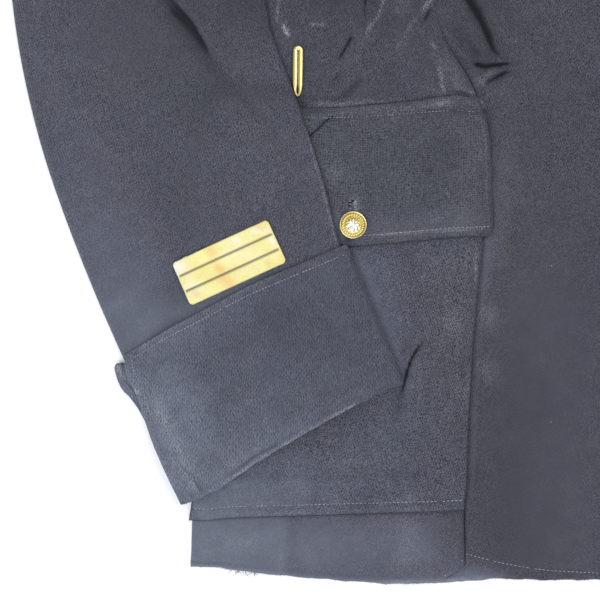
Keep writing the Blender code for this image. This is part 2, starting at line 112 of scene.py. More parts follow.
# ---- Outlines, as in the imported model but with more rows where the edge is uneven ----
BACK = (
    (-311, 283), (-281, 281), (-200, 278), (-100, 271), (-50, 261), (-20, 247), (0, 242),
    (50, 245), (100, 253), (150, 261), (190, 226), (240, 208), (290, 211), (335, 228),
    (352, 180), (368, 128), (384, 78), (392, 48),
)
FRONT = (
    # in   y_in edge  y_e   out  y_out  share of the pleat's rise
    (74,   384, 130,  366,  228, 335,  0.00),
    (51,   330, 124,  312,  211, 290,  0.00),
    (25,   270, 122,  254,  208, 240,  0.00),
    (-4,   205, 130,  197,  226, 190,  0.00),
    (-22,  160, 135,  154,  260, 150,  0.00),
    (-22,  95,  137,  95,   252, 95,   0.00),
    (-22,  44,  131,  44,   244, 44,   0.30),
    (-22,  20,  125,  20,   242, 20,   0.62),
    (-22,  0,   113,  0,    243, 0,    0.85),
    (-22,  -20, 104,  -20,  250, -20,  1.00),
    (-22,  -45, 108,  -45,  259, -45,  1.00),
    (-22,  -105, 110, -105, 271, -105, 1.00),
    (-22,  -170, 111, -170, 276, -170, 1.00),
    (-22,  -230, 112, -230, 280, -230, 1.00),
    (-22,  -281, 112, -281, 282, -281, 1.00),
    (-22,  -309, 112, -309, 282.6, -303.5, 1.00),
    (-22,  -312.5, 114, -312.5, 282.8, -306.5, 1.00),
    (-22,  -321, 131, -321, 283.2, -313, 0.80),
)
# The hem's dip below the last row. out, dip.
FRONT_HEM = ((-22, 0.0), (60, -0.3), (90, 0.6), (112, -1.2), (135, -2.2), (157, -4.0), (185, -3.8),
             (208, -3.0), (245, -1.4), (264, 0.6), (284, 0.6))
ROLL_LOW, ROLL_HIGH = (-20.0, 162.0), (72.0, 380.0)
LAPEL = ((0.02, 6), (0.25, 36), (0.50, 64), (0.74, 89), (0.79, 86), (0.86, 50), (0.97, 24))
COLLAR = (
    (0, 404, 0, 443), (30, 403, 46, 440), (56, 397, 92, 424), (73, 383, 119, 388),
    (66, 364, 112, 350), (60, 352, 103, 330),
)
STAND = ((0, 379, 0, 411), (28, 378, 31, 409), (49, 371, 58, 402), (66, 362, 80, 388))
POCKET_HEM = ((112, 1.1), (124, 0.4), (157, -0.4), (227, -1.8), (260, -2.5), (273, -4.0), (282, -3.5))
POCKET = (
    (100, -31, 261, -31), (99, -60, 265, -60), (99, -105, 269, -105), (100, -119, 271, -119),
    (102, -136, 273, -136), (104.5, -160, 275.5, -160), (106, -180, 277, -180), (108, -215, 279, -215),
    (109.5, -255, 281, -255), (110.4, -268, 282.4, -269), (111, -278, 284.2, -280),
)
GUSSET = (
    (101.5, -36, 119.5, -36), (101, -100, 119, -100), (108, -180, 126, -180), (110.5, -230, 128.5, -230),
    (112.5, -276.5, 130.5, -258.5), (196, -279, 196, -261), (280, -279, 262, -261),
    (278.5, -230, 260.5, -230), (275.5, -180, 257.5, -180), (267.5, -100, 249.5, -100),
    (261.5, -36, 243.5, -36),
)
FLAP = (
    (103, -20.5, 258, -26), (101, -24, 259, -29), (97, -34, 262, -36), (94, -57, 266, -57),
    (93, -80, 268, -80), (92, -97, 269, -97), (94, -105, 268, -105),
)
FLAP_RISE = ((103, 1.0), (116, 4.6), (138, 2.4), (160, 0.8), (190, -0.7), (220, 0.0), (258, 0.0))
FLAP_HEM = ((92, 0.0), (119, -1.2), (142, -3.4), (163, -5.4), (181, -7.0), (199, -5.4), (240, -2.0),
            (269, 0.0))
SLEEVE = (
    (214, 190, 230, 336), (222, 165, 290, 322), (229, 135, 343, 283), (234, 105, 378, 228),
    (237, 75, 394, 165), (237, 50, 399, 105), (231.6, 20, 396, 55), (222.6, -4, 389, 5),
    (211, -37, 377, -46), (200, -71, 361, -94), (190.5, -108, 340, -147), (181, -131, 319.5, -193),
    (172, -153, 309, -221), (164, -173, 300, -241), (153.5, -196.5, 286.5, -270.5),
)
ARMHOLE_BOW, ARMHOLE_DEEP = 17.0, 84.0      # how far the sleeve's head bows over the body, and how far down
UNDER_SLEEVE_INSET = 1.5
CUFF = (
    # inner end, outer end, outer end of the layer underneath
    (185, -110, 324.5, -179.5, 331.5, -185.5), (181, -121, 323.5, -190.5, 328, -195.5),
    (176, -133, 318.5, -201.5, 321, -205), (168, -152, 311, -223, 311, -223),
    (159, -174, 302, -246, 302, -246), (149.6, -196.4, 288.5, -273.4, 288.5, -273.4),
)
CUFF_HEM = ((150, 0.0), (171, 1.6), (202, 2.4), (242, 0.6), (265, -2.6), (279, -1.6), (288, 0.4))
LACE_LONG, LACE_BAR, LACE_LINE = 66.0, 9.0, 1.1
LACE_AT = np.array((258.5, -121.6))
LACE_ANGLE = math.radians(155.5)
LACE_CORNER = 2.6
BUTTONHOLE = ((180.4, -82.1), (181.6, -82.5), (182.4, -83.7), (182.6, -85.4))   # open at its upper end
SLOT_HALF = 0.62
SLIT = ((182.5, -85.6), (181.9, -88.5), (181.2, -92.0))
POCKET_BUTTON_AT = (181.0, -98.0)
POCKET_BUTTON, FRONT_BUTTON = 17.3, 22.0
FRONT_BUTTON_Y = (140.0, 72.0, 4.0, -64.0)
HOOK_TOP, HOOK_TIP = np.array((215.4, 15.0)), np.array((215.8, -16.3))
HOOK_WIRE = 2.3


# ---- The pile ----
class Pile:
    """How high the cloth laid so far stands, in millimetres, on a map of square cells."""

    def __init__(self):
        low, high = np.array(CAD_BOX[0][:2]) / MM - 12, np.array(CAD_BOX[1][:2]) / MM + 12
        self.low = low
        self.height = np.zeros(np.ceil((high - low) / CELL).astype(int) + 1)

    def read(self, field, plan):
        """A map's values at points, between the cells' middles."""
        at = (plan[..., :2] - self.low) / CELL
        at = np.clip(at, 0, np.array(field.shape) - 1.001)
        i, j = at[..., 0].astype(int), at[..., 1].astype(int)
        u, v = at[..., 0] - i, at[..., 1] - j
        return ((1 - u) * (1 - v) * field[i, j] + u * (1 - v) * field[i + 1, j]
                + (1 - u) * v * field[i, j + 1] + u * v * field[i + 1, j + 1])

    def cells(self, points):
        """The numbers of the cells that points lie in."""
        at = np.rint((points[..., :2] - self.low) / CELL).astype(int)
        return at[..., 0], at[..., 1]

    def rest(self, plan, reach):
        """The height at which cloth rests on what lies under a plan. It bridges `reach` mm past a step."""
        inside = np.zeros(self.height.shape, bool)
        inside[self.cells(between(plan))] = True
        level = np.where(inside & (self.height > 0), self.height + GAP, 0.0)
        steps = max(1, round(reach / CELL))
        for k in range(steps + 1):
            level = widened(level, corners=k % 2 == 0)
        return blurred(level, steps)

    def level(self, plan, reach):
        """How high cloth lies on the pile at a plan's points."""
        return self.read(self.rest(plan, reach), plan)

    def cover(self, top):
        """Raises the pile to a panel's upper face."""
        points = between(top)
        np.maximum.at(self.height, self.cells(points), points[..., 2])

    def hollows(self, top):
        """How deep a face lies below what is close round it, 1 at the most."""
        return np.clip((self.read(blurred(self.height, 2), top) - top[..., 2]) / FULL_HOLLOW, 0, 1)

    def top_near(self, x, y, reach):
        """The highest that the pile stands within `reach` of a place."""
        steps = np.arange(-reach, reach + CELL, CELL)
        return float(self.read(self.height, np.dstack(np.meshgrid(x + steps, y + steps))).max())

    def on_top(self, places, side):
        """Points (out, y) laid on the pile."""
        flat = np.array(places, float) * np.array((side, 1.0))
        return np.column_stack([flat, self.read(self.height, flat[None])[0]])


def between(grid):
    """A grid's points with more in between, so close that no cell of the map is missed."""
    for axis in (0, 1):
        grid = np.moveaxis(grid, axis, 0)
        far = np.linalg.norm(np.diff(grid[..., :2], axis=0), axis=2).max()
        count = math.ceil(far / FINE)
        share = np.arange(count) / count
        share = share.reshape((1, -1) + (1,) * (grid.ndim - 1))
        filled = grid[:-1, None] * (1 - share) + grid[1:, None] * share
        grid = np.concatenate([filled.reshape(-1, *grid.shape[1:]), grid[-1:]])
        grid = np.moveaxis(grid, 0, axis)
    return grid


def widened(field, corners):
    """A map with each cell raised to the highest cell beside it, or round it if corners count."""
    out = field.copy()
    for axis in (0, 1):
        base = out if corners else field
        for step in (-1, 1):
            out = np.maximum(out, np.roll(base, step, axis))
    return out


def blurred(field, radius):
    """A map smoothed over `radius` cells."""
    taps = np.exp(-2.0 * (np.arange(-radius, radius + 1) / (radius + 0.5)) ** 2)
    taps /= taps.sum()
    for axis in (0, 1):
        field = sum(w * np.roll(field, k - radius, axis) for k, w in enumerate(taps))
    return field


# ---- Plans: grids of points seen from above ----
def smooth_rows(table, steps):
    """The table's rows with `steps` cells between each two, on smooth curves through their values."""
    t = np.array(table, float)
    before = np.vstack([2 * t[0] - t[1], t[:-1]])
    after = np.vstack([t[1:], 2 * t[-1] - t[-2]])
    slope = (after - before) / 2
    w = (np.arange(steps) / steps)[None, :, None]
    p, q, m, n = t[:-1, None], t[1:, None], slope[:-1, None], slope[1:, None]
    rows = ((1 + 2 * w) * (1 - w) ** 2 * p + w * (1 - w) ** 2 * m
            + w * w * (3 - 2 * w) * q - w * w * (1 - w) * n)
    return np.vstack([rows.reshape(-1, t.shape[1]), t[-1]])


def run_of(line):
    """Each point's distance along a line of points."""
    return np.concatenate([[0], np.cumsum(np.linalg.norm(np.diff(line, axis=0), axis=1))])


def unit(vectors):
    return vectors / np.linalg.norm(vectors, axis=-1)[..., None]


def turned(points, angle):
    c, s = math.cos(angle), math.sin(angle)
    return points @ np.array(((c, s), (-s, c)))


def places(long, cell, start, end):
    """Places on a line as (fixed part, part that grows with the line): the given distances from each end,
    and even steps of about `cell` between them on a line of length `long`."""
    a, b = start[-1], end[-1]
    count = max(1, round((long - a - b) / cell))
    w = np.arange(1, count) / count
    fixed = np.concatenate([start, a - (a + b) * w, -np.array(end[::-1], float)])
    grows = np.concatenate([np.zeros(len(start)), w, np.ones(len(end))])
    return fixed, grows


class Plan:
    """A panel seen from above. grid holds its points (out, y). top, bottom, first and last are each point's
    distance from the panel's first row, last row, first line and last line. cell is the spacing of the
    points, cells that between each two knots of a row; dense holds (from y, to y, spacing of the rows)."""

    def __init__(self, table, cell, rows=(PLAIN_EDGE, PLAIN_EDGE), lines=(PLAIN_EDGE, PLAIN_EDGE), extra=0,
                 straight=False, like=None, dense=None, cells=None):
        fine = np.array(table, float) if straight else smooth_rows(table, 16)
        wide = fine.shape[1] - extra
        middle = fine[:, :wide].reshape(len(fine), -1, 2).mean(axis=1)
        run = run_of(middle)
        fixed, grows = places(run[-1], cell, *rows)
        self.at = fixed + grows * run[-1] if like is None else like.at / like.at[-1] * run[-1]
        if dense:
            first, last = np.interp([-dense[0], -dense[1]], -middle[:, 1], run)
            kept = self.at[(self.at < first - 1) | (self.at > last + 1)]
            self.at = np.sort(np.concatenate([kept, np.arange(first, last, dense[2])]))
        values = np.stack([np.interp(self.at, run, column) for column in fine.T], axis=1)
        self.extra = values[:, wide:]
        knots = values[:, :wide].reshape(len(values), -1, 2)
        last = knots.shape[1] - 2
        parts, along = [], []
        for k in range(last + 1):
            near = lines[0] if k == 0 else FOLD_EDGE
            far = lines[1] if k == last else FOLD_EDGE
            wanted = cells[k] if cells else cell
            part, place = between_knots(knots[:, k], knots[:, k + 1], wanted, near, far)
            parts.append(part[:, min(k, 1):])
            along.append(place[:, min(k, 1):] + (along[-1][:, -1:] if k else 0))
        self.grid = np.concatenate(parts, axis=1)
        self.first = np.concatenate(along, axis=1)
        self.knot = along[0][:, -1:]
        self.last = self.first[:, -1:] - self.first
        self.top = np.broadcast_to(self.at[:, None], self.first.shape)
        self.bottom = self.at[-1] - self.top
        self.size = (float(self.first[:, -1].max()), float(run[-1]))

    def bend(self, table, reach, distance):
        """Moves points in y by the table's (out, shift) where distance is 0, fading over reach."""
        out, shift = np.array(table, float).T
        fade = np.clip(1 - distance / reach, 0, 1)
        self.grid[..., 1] += np.interp(self.grid[..., 0], out, shift) * fade * fade * (3 - 2 * fade)

    def waver(self, height, wave, seed):
        """Makes the lower edge slightly uneven."""
        phase = np.random.default_rng(seed).uniform(0, 6.28, 4)
        along = (self.grid[..., 0] - self.grid[..., 1]) / wave
        waves = zip((1.0, 1.7, 2.9, 4.3), phase)
        sway = sum(np.sin(along * r + p) / (1 + k) for k, (r, p) in enumerate(waves))
        fade = np.exp(-self.bottom / 6.0)
        self.grid = self.grid + (height * sway * fade)[..., None] * np.array((0.5, 1.0))

    def laid(self, side, swings):
        """The points (X, Y) where the panel lies. A sleeve on the left is swung out a little."""
        grid = self.grid
        if swings and side == LEFT:
            grid = turned(grid - SHOULDER, LEFT_SWING) + SHOULDER
        return grid * np.array((side, 1.0))


def between_knots(a, b, cell, near, far):
    """Points on straight lines from a to b, and their distances from a."""
    wide = np.linalg.norm(b - a, axis=1)[:, None]
    fixed, grows = places(float(np.median(wide)), cell, near, far)
    squeeze = np.minimum(1.0, 0.8 * wide / (near[-1] + far[-1]))
    place = fixed * squeeze + grows * wide
    return a[:, None] + (b - a)[:, None] * (place / wide)[..., None], place


# ---- Relief ----
def hump(distance, at, width):
    """A smooth hump of height 1 where the distance is `at`."""
    return np.exp(-((distance - at) / width) ** 2)


def least(*distances):
    return np.minimum.reduce(distances)


def nearest(values, wanted):
    return int(np.argmin(np.abs(values - wanted)))


def polyline(points):
    return smooth_rows(points, CURVE_STEPS) if len(points) > 2 else np.linspace(*points, CURVE_STEPS)


def from_line(grid, points):
    """Each point's distance to a line, signed by side, and the share of the line at which it is nearest."""
    line = polyline(points)
    best = np.full(grid.shape[:2], 1e9)
    side = np.zeros(grid.shape[:2])
    share = np.zeros(grid.shape[:2])
    for k in range(len(line) - 1):
        a, run = line[k], line[k + 1] - line[k]
        long = run @ run
        local = grid[..., :2] - a
        t = np.clip((local @ run) / long, 0, 1)
        off = local - t[..., None] * run
        far = np.hypot(off[..., 0], off[..., 1])
        nearer = far < best
        best = np.where(nearer, far, best)
        side = np.where(nearer, np.sign(local[..., 1] * run[0] - local[..., 0] * run[1]), side)
        share = np.where(nearer, (k + t) / (len(line) - 1), share)
    return best, side, share


def eased(share):
    """A smooth step from 0 to 1."""
    share = np.clip(share, 0, 1)
    return share * share * (3 - 2 * share)


def fold_relief(grid, folds):
    """The height that soft folds add, and the painted shade that darkens the sharp creases. A fold: height,
    width on its left and on its right, how much of its start and of its end fades out, then its points' out
    and y. Left and right are as one walks along it."""
    total = np.zeros(grid.shape[:2])
    shade = np.zeros(grid.shape[:2])
    for height, left, right, fade_in, fade_out, *points in folds:
        far, side, share = from_line(grid, np.reshape(points, (-1, 2)))
        width = np.where(side > 0, left, right)
        taper = eased(share / max(fade_in, 1e-6)) * eased((1 - share) / max(fade_out, 1e-6))
        part = taper * hump(far, 0, width)
        total += height * part
        if height < 0:
            shade += min(-height / 3.2, 1) * min(2.6 / (left + right), 1) * part
    return total, np.clip(shade, 0, 1)


def not_below(height):
    """Keeps folds above the cloth underneath, without a sharp line."""
    return (height + np.sqrt(height * height + FOLD_EASE * FOLD_EASE)) / 2


def quarter_round(distance, radius):
    """1 at an edge, 0 at `radius` from it."""
    return 1 - np.sqrt(1 - np.clip(1 - distance / radius, 0, 1) ** 2)


def rounded(distance, thick, radius):
    """How far a turned edge drops below the panel, close to it."""
    return -(thick - 0.2) * quarter_round(distance, radius)


def sewn(distance, welt=0.16, sunk=0.2, at=STITCH_IN):
    """A row of stitching: cloth puffed between it and the edge, sunk where the thread holds it."""
    puff = welt * hump(distance, at / 2, 1.6) + 0.6 * welt * hump(distance, at + 2.4, 1.6)
    return puff - sunk * hump(distance, at, 0.55)


def rumple(grid, height, size, seed):
    """Shallow unevenness that cloth keeps when it is laid down by hand."""
    rng = np.random.default_rng(seed)
    total = np.zeros(grid.shape[:2])
    for _ in range(9):
        angle, phase, scale = rng.uniform(0, 3.14), rng.uniform(0, 6.28), size * rng.uniform(0.6, 1.8)
        along = grid[..., 0] * math.cos(angle) + grid[..., 1] * math.sin(angle)
        over = grid[..., 1] * math.cos(angle) - grid[..., 0] * math.sin(angle)
        total += np.sin(along / scale + phase + 0.8 * np.sin(over / scale * 0.7 + phase * 2)) / 3
    return height * total


# ---- Meshes ----
def mesh_of(name, points, quads, tone=None):
    """A smooth mesh in metres from points in millimetres. Points that no face uses are left out."""
    used, index = np.unique(quads, return_inverse=True)
    mesh = bpy.data.meshes.new(name)
    mesh.vertices.add(len(used))
    mesh.vertices.foreach_set("co", (np.asarray(points, float)[used] * MM).ravel())
    mesh.loops.add(index.size)
    mesh.loops.foreach_set("vertex_index", index.ravel().astype(np.int32))
    mesh.polygons.add(len(quads))
    mesh.polygons.foreach_set("loop_start", np.arange(len(quads), dtype=np.int32) * 4)
    mesh.polygons.foreach_set("use_smooth", np.ones(len(quads), bool))
    mesh.update(calc_edges=True)
    if tone is not None:
        layer = mesh.attributes.new("tone", "FLOAT_COLOR", "POINT")
        layer.data.foreach_set("color", tone.reshape(-1, 4)[used].astype(np.float32).ravel())
    return mesh


def add_piece(name, mesh, finish, replaces=()):
    """Adds a mesh as a piece of the body, with its finish and the nodes that it stands for."""
    piece = bpy.data.objects.new(name, mesh)
    bpy.context.scene.collection.objects.link(piece)
    mesh.materials.append(finish)
    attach(piece, "root")
    if replaces:
        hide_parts(*replaces)
    return piece


def grid_quads(rows, cols, offset=0):
    """The cells of a grid of points, numbered row by row from `offset`."""
    i, j = np.meshgrid(np.arange(rows - 1), np.arange(cols - 1), indexing="ij")
    a = (i * cols + j).ravel() + offset
    return np.stack([a, a + cols, a + cols + 1, a + 1], axis=1)


def rim_line(rows, cols):
    """Numbers of the points round a grid's edge, in order."""
    top = [(0, j) for j in range(cols - 1)]
    far = [(i, cols - 1) for i in range(rows - 1)]
    low = [(rows - 1, j) for j in range(cols - 1, 0, -1)]
    near = [(i, 0) for i in range(rows - 1, 0, -1)]
    return np.array([i * cols + j for i, j in top + far + low + near])


def normals(grid, up_line):
    """Unit normals of a grid, upwards at the middle of line up_line."""
    along, over = np.gradient(grid, axis=0), np.gradient(grid, axis=1)
    normal = np.cross(along, over)
    normal /= np.maximum(np.linalg.norm(normal, axis=2), 1e-9)[..., None]
    return normal * np.sign(normal[:, up_line, 2].mean())


def shell(name, middle, thick, relief, finish, replaces, tone, up_line=None, hole=None):
    """A closed wall of cloth round a grid of its middle. relief moves its outer face. Returns the piece and
    the outer face's points."""
    rows, cols = middle.shape[:2]
    normal = normals(middle, cols // 2 if up_line is None else up_line)
    outer = middle + normal * (thick / 2 + relief)[..., None]
    inner = middle - normal * (thick / 2)
    up = grid_quads(rows, cols)
    down = grid_quads(rows, cols, rows * cols)[:, ::-1]
    rim = rim_line(rows, cols)
    ahead = np.roll(rim, -1)
    side = np.stack([rim, ahead, ahead + rows * cols, rim + rows * cols], axis=1)
    quads = np.vstack([up, down, side])
    if hole is not None:
        cells = hole[:-1, :-1].ravel()
        quads = np.vstack([up[~cells], down[~cells], side, hole_walls(hole, rows, cols)])
    first = outer.reshape(-1, 3)[up[0]]
    facing = np.cross(first[1] - first[0], first[3] - first[0]) @ normal[0, 0]
    if facing < 0:
        quads = quads[:, ::-1]
    points = np.vstack([outer.reshape(-1, 3), inner.reshape(-1, 3)])
    mesh = mesh_of(name, points, quads, np.concatenate([tone.reshape(-1, 4)] * 2))
    return add_piece(name, mesh, finish, replaces), outer


def hole_walls(hole, rows, cols):
    """Walls round the cells of a hole, as quads from the outer to the inner face."""
    walls = []
    cells = set(zip(*np.nonzero(hole[:-1, :-1])))
    for i, j in cells:
        corners = ((i, j), (i + 1, j), (i + 1, j + 1), (i, j + 1))
        beside = ((i, j - 1), (i + 1, j), (i, j + 1), (i - 1, j))
        for k in range(4):
            if beside[k] not in cells:
                a, b = (p * cols + q for p, q in (corners[k], corners[(k + 1) % 4]))
                walls.append((a, b, b + rows * cols, a + rows * cols))
    return np.array(walls)


def cut_area(middle):
    """The area of a grid's cells, in square metres."""
    a, b, c, d = middle[:-1, :-1], middle[1:, :-1], middle[1:, 1:], middle[:-1, 1:]
    halves = np.linalg.norm(np.cross(b - a, c - a), axis=2) + np.linalg.norm(np.cross(c - a, d - a), axis=2)
    return float(halves.sum() / 2) * MM * MM


def declare(piece, middle, size):
    """Works out the size of the sheet of cloth that a piece was cut from. Nothing keeps it."""
    area = cut_area(middle)
    wide, long = (s * MM for s in size)
    grow = max(1.0, math.sqrt(area / (wide * long)))
    flat = tuple(math.ceil(side * grow * 10000) / 10000 for side in (wide, long))


# ---- Tone: where the cloth is rubbed pale or given painted highlights, darkened by painted shade and soil, browned, or made paler and bluer by painted light ----
# The second value is painted shade in creases, hollows and along edges, with tarnish on the gilt and the
# dark lines on the lace. The fourth is painted light, and below 0 it marks felted cloth.
RUB_AND_HIGHLIGHT, SHADE_AND_SOIL, BROWN, LIGHT_AND_FELT = range(4)
HOLLOW_SHADE = 0.40                   # how much darker painted shade makes the bottom of a hollow or a deep crease than the rest


def tone_of(grid, marks):
    """Four values for each point. A mark: which value, strength, width, then its points' out and y."""
    tone = np.zeros((*grid.shape[:2], 4))
    for kind, strength, width, *points in marks:
        far, _, share = from_line(grid, np.reshape(points, (-1, 2)))
        ends = np.clip(np.minimum(share, 1 - share) * 5 + 0.4, 0, 1)
        tone[..., kind] += strength * ends * hump(far, 0, width)
    return np.clip(tone, -1, 1)


# ---- Node trees ----
WEAVE_PITCH = 2.1             # two crossings of warp and weft, in millimetres
TURN = 6.283                  # radians
# Linear colours that wear, painted shade and painted light mix into the cloth: a dark of painted shade and
# soil, the black of a crease's painted shadow, a pale of rubbed wear and painted highlight, and a blue of
# painted light.
DUST = (0.082, 0.075, 0.076)
PAINTED_LIGHT_BLUE = (0.152, 0.167, 0.218)
SHADE_AND_SOIL_DARK = (0.019, 0.019, 0.025, 1)
CREASE_SHADOW_BLACK = (0.004, 0.005, 0.008, 1)
RUBBED_AND_HIGHLIGHT_PALE = (0.32, 0.325, 0.36, 1)
LINT_WHITE = (0.55, 0.56, 0.60, 1)
COOLER, WARMER = (0.98, 1.0, 1.02, 1), (1.03, 0.995, 0.985, 1)


class Flow:
    """A value that a node tree works out. Arithmetic on it adds Math nodes."""

    def __init__(self, socket):
        self.socket = socket
        self.tree = socket.id_data

    def math(self, operation, *others):
        values = {f"n{k}": value for k, value in enumerate((self, *others))}
        return node(self.tree, "Math", {"operation": operation}, **values)

    def __add__(self, other):
        return self.math("ADD", other)

    def __sub__(self, other):
        return self.math("SUBTRACT", other)

    def __rsub__(self, other):
        return self * -1.0 + other

    def __mul__(self, other):
        return self.math("MULTIPLY", other)

    def __truediv__(self, other):
        return self.math("DIVIDE", other)

    def band(self, low, high):
        """0 below low, 1 above high."""
        return node(self.tree, "MapRange", {"clamp": True}, Value=self, From_Min=low, From_Max=high)

    def noise(self, scale, detail=2.0, rough=0.5, output="Fac"):
        """Noise at a place."""
        return node(self.tree, "TexNoise", None, output, Vector=self, Scale=scale, Detail=detail,
                    Roughness=rough)

    def moved(self, by, reach):
        """A place moved by `by` times `reach`."""
        return node(self.tree, "VectorMath", {"operation": "MULTIPLY_ADD"}, n0=by, n1=reach, n2=self)

    def stretched(self, scale):
        return node(self.tree, "VectorMath", {"operation": "MULTIPLY"}, n0=self, n1=scale)

    def turned(self, angle):
        """A place turned about Z."""
        return node(self.tree, "VectorRotate", {"rotation_type": "Z_AXIS"}, Vector=self, Angle=angle)

    def also(self, output):
        """Another output of the same node."""
        return Flow(self.socket.node.outputs[output])

    def split(self, kind="XYZ"):
        """The three parts of a place or, with kind Color, of a colour."""
        label = "Vector" if kind == "XYZ" else kind
        first = node(self.tree, "Separate" + kind, **{label: self})
        return first, first.also(1), first.also(2)


def feed(socket, value):
    """Links a flow to a socket, or sets the socket to a plain value."""
    if isinstance(value, Flow):
        socket.id_data.links.new(value.socket, socket)
    else:
        socket.default_value = value


def node(tree, kind, settings=None, output=0, **inputs):
    """Adds a node and returns one of its outputs. inputs are plain values or flows, by name with _ for
    spaces, or by number as n0."""
    made = tree.nodes.new("ShaderNode" + kind)
    for name, value in (settings or {}).items():
        setattr(made, name, value)
    for name, value in inputs.items():
        key = int(name[1:]) if name[1:].isdigit() else name.replace("_", " ")
        feed(made.inputs[key], value)
    return Flow(made.outputs[output])


def mixed(tree, share, first, second, blend="MIX"):
    return node(tree, "Mix", {"data_type": "RGBA", "blend_type": blend}, 2, n0=share, n6=first, n7=second)


def scaled(tree, vector, by):
    return node(tree, "VectorMath", {"operation": "SCALE"}, n0=vector, Scale=by)


def millimetres(tree):
    """Where a point is on the object, in millimetres."""
    return scaled(tree, node(tree, "TexCoord", output="Object"), 1 / MM)


def painted_tone(tree):
    return node(tree, "Attribute", {"attribute_name": "tone"}, "Color")


def group_of(name, inputs, outputs):
    """An empty node group with named sockets. Returns its tree, its inputs and a function that ends it."""
    tree = bpy.data.node_groups.new(name, "ShaderNodeTree")
    for label, value in inputs.items():
        kind = "NodeSocketColor" if isinstance(value, tuple) else "NodeSocketFloat"
        tree.interface.new_socket(label, in_out="INPUT", socket_type=kind).default_value = value
    for label in outputs:
        kind = "NodeSocketColor" if label == "Color" else "NodeSocketFloat"
        tree.interface.new_socket(label, in_out="OUTPUT", socket_type=kind)
    given = tree.nodes.new("NodeGroupInput").outputs
    result = tree.nodes.new("NodeGroupOutput").inputs

    def end(**values):
        for label, value in values.items():
            feed(result[label], value)
        return tree

    return tree, {label: Flow(given[label]) for label in inputs}, end


def twill_group():
    """Woven wool: fine ribs that waver, broken into short floats that are each a little lighter or darker,
    with uneven yarns and loose fibres. Drawn makes the yarns longer along the ribs, the less the longer.
    Wale makes the ribs plainer. Puts out a height, and a fleck of light and dark around 0."""
    tree, given, end = group_of(
        "wool_twill", {"Grain": 0.0, "Rib": 1.3, "Drawn": 0.6, "Wale": 0.09}, ("Height", "Fleck"))
    place = millimetres(tree).turned(given["Grain"])
    sway = place.moved(place.noise(0.05, output="Color"), (7.0, 7.0, 0.0))
    x, y, z = sway.split()
    wave = (x * TURN / given["Rib"]).math("SINE")
    over, under, _ = sway.moved(place.noise(0.8, 1.0, output="Color"), (1.9, 1.9, 0.0)).split()
    warp = (over * (TURN / WEAVE_PITCH)).math("SINE")
    pick = (under * (TURN / WEAVE_PITCH) * given["Drawn"]).math("SINE")
    drawn = node(tree, "CombineXYZ", X=x, Y=y * given["Drawn"], Z=z)
    yarn = drawn.noise(1.05, 1.0) - 0.5
    slub = drawn.noise(0.42, rough=0.6) - 0.5
    fibre = place.noise(2.1, 3.0, 0.7) - 0.5
    floats = node(tree, "TexVoronoi", None, "Color", Vector=drawn, Scale=1.8).split("Color")[0] - 0.5
    fleck = wave * given["Wale"] + yarn * 0.45 + warp * pick * 0.25 + slub * 0.12
    fleck = fleck + fibre * 0.42 + floats * 0.65
    return end(Height=fleck + wave * 0.15, Fleck=fleck)


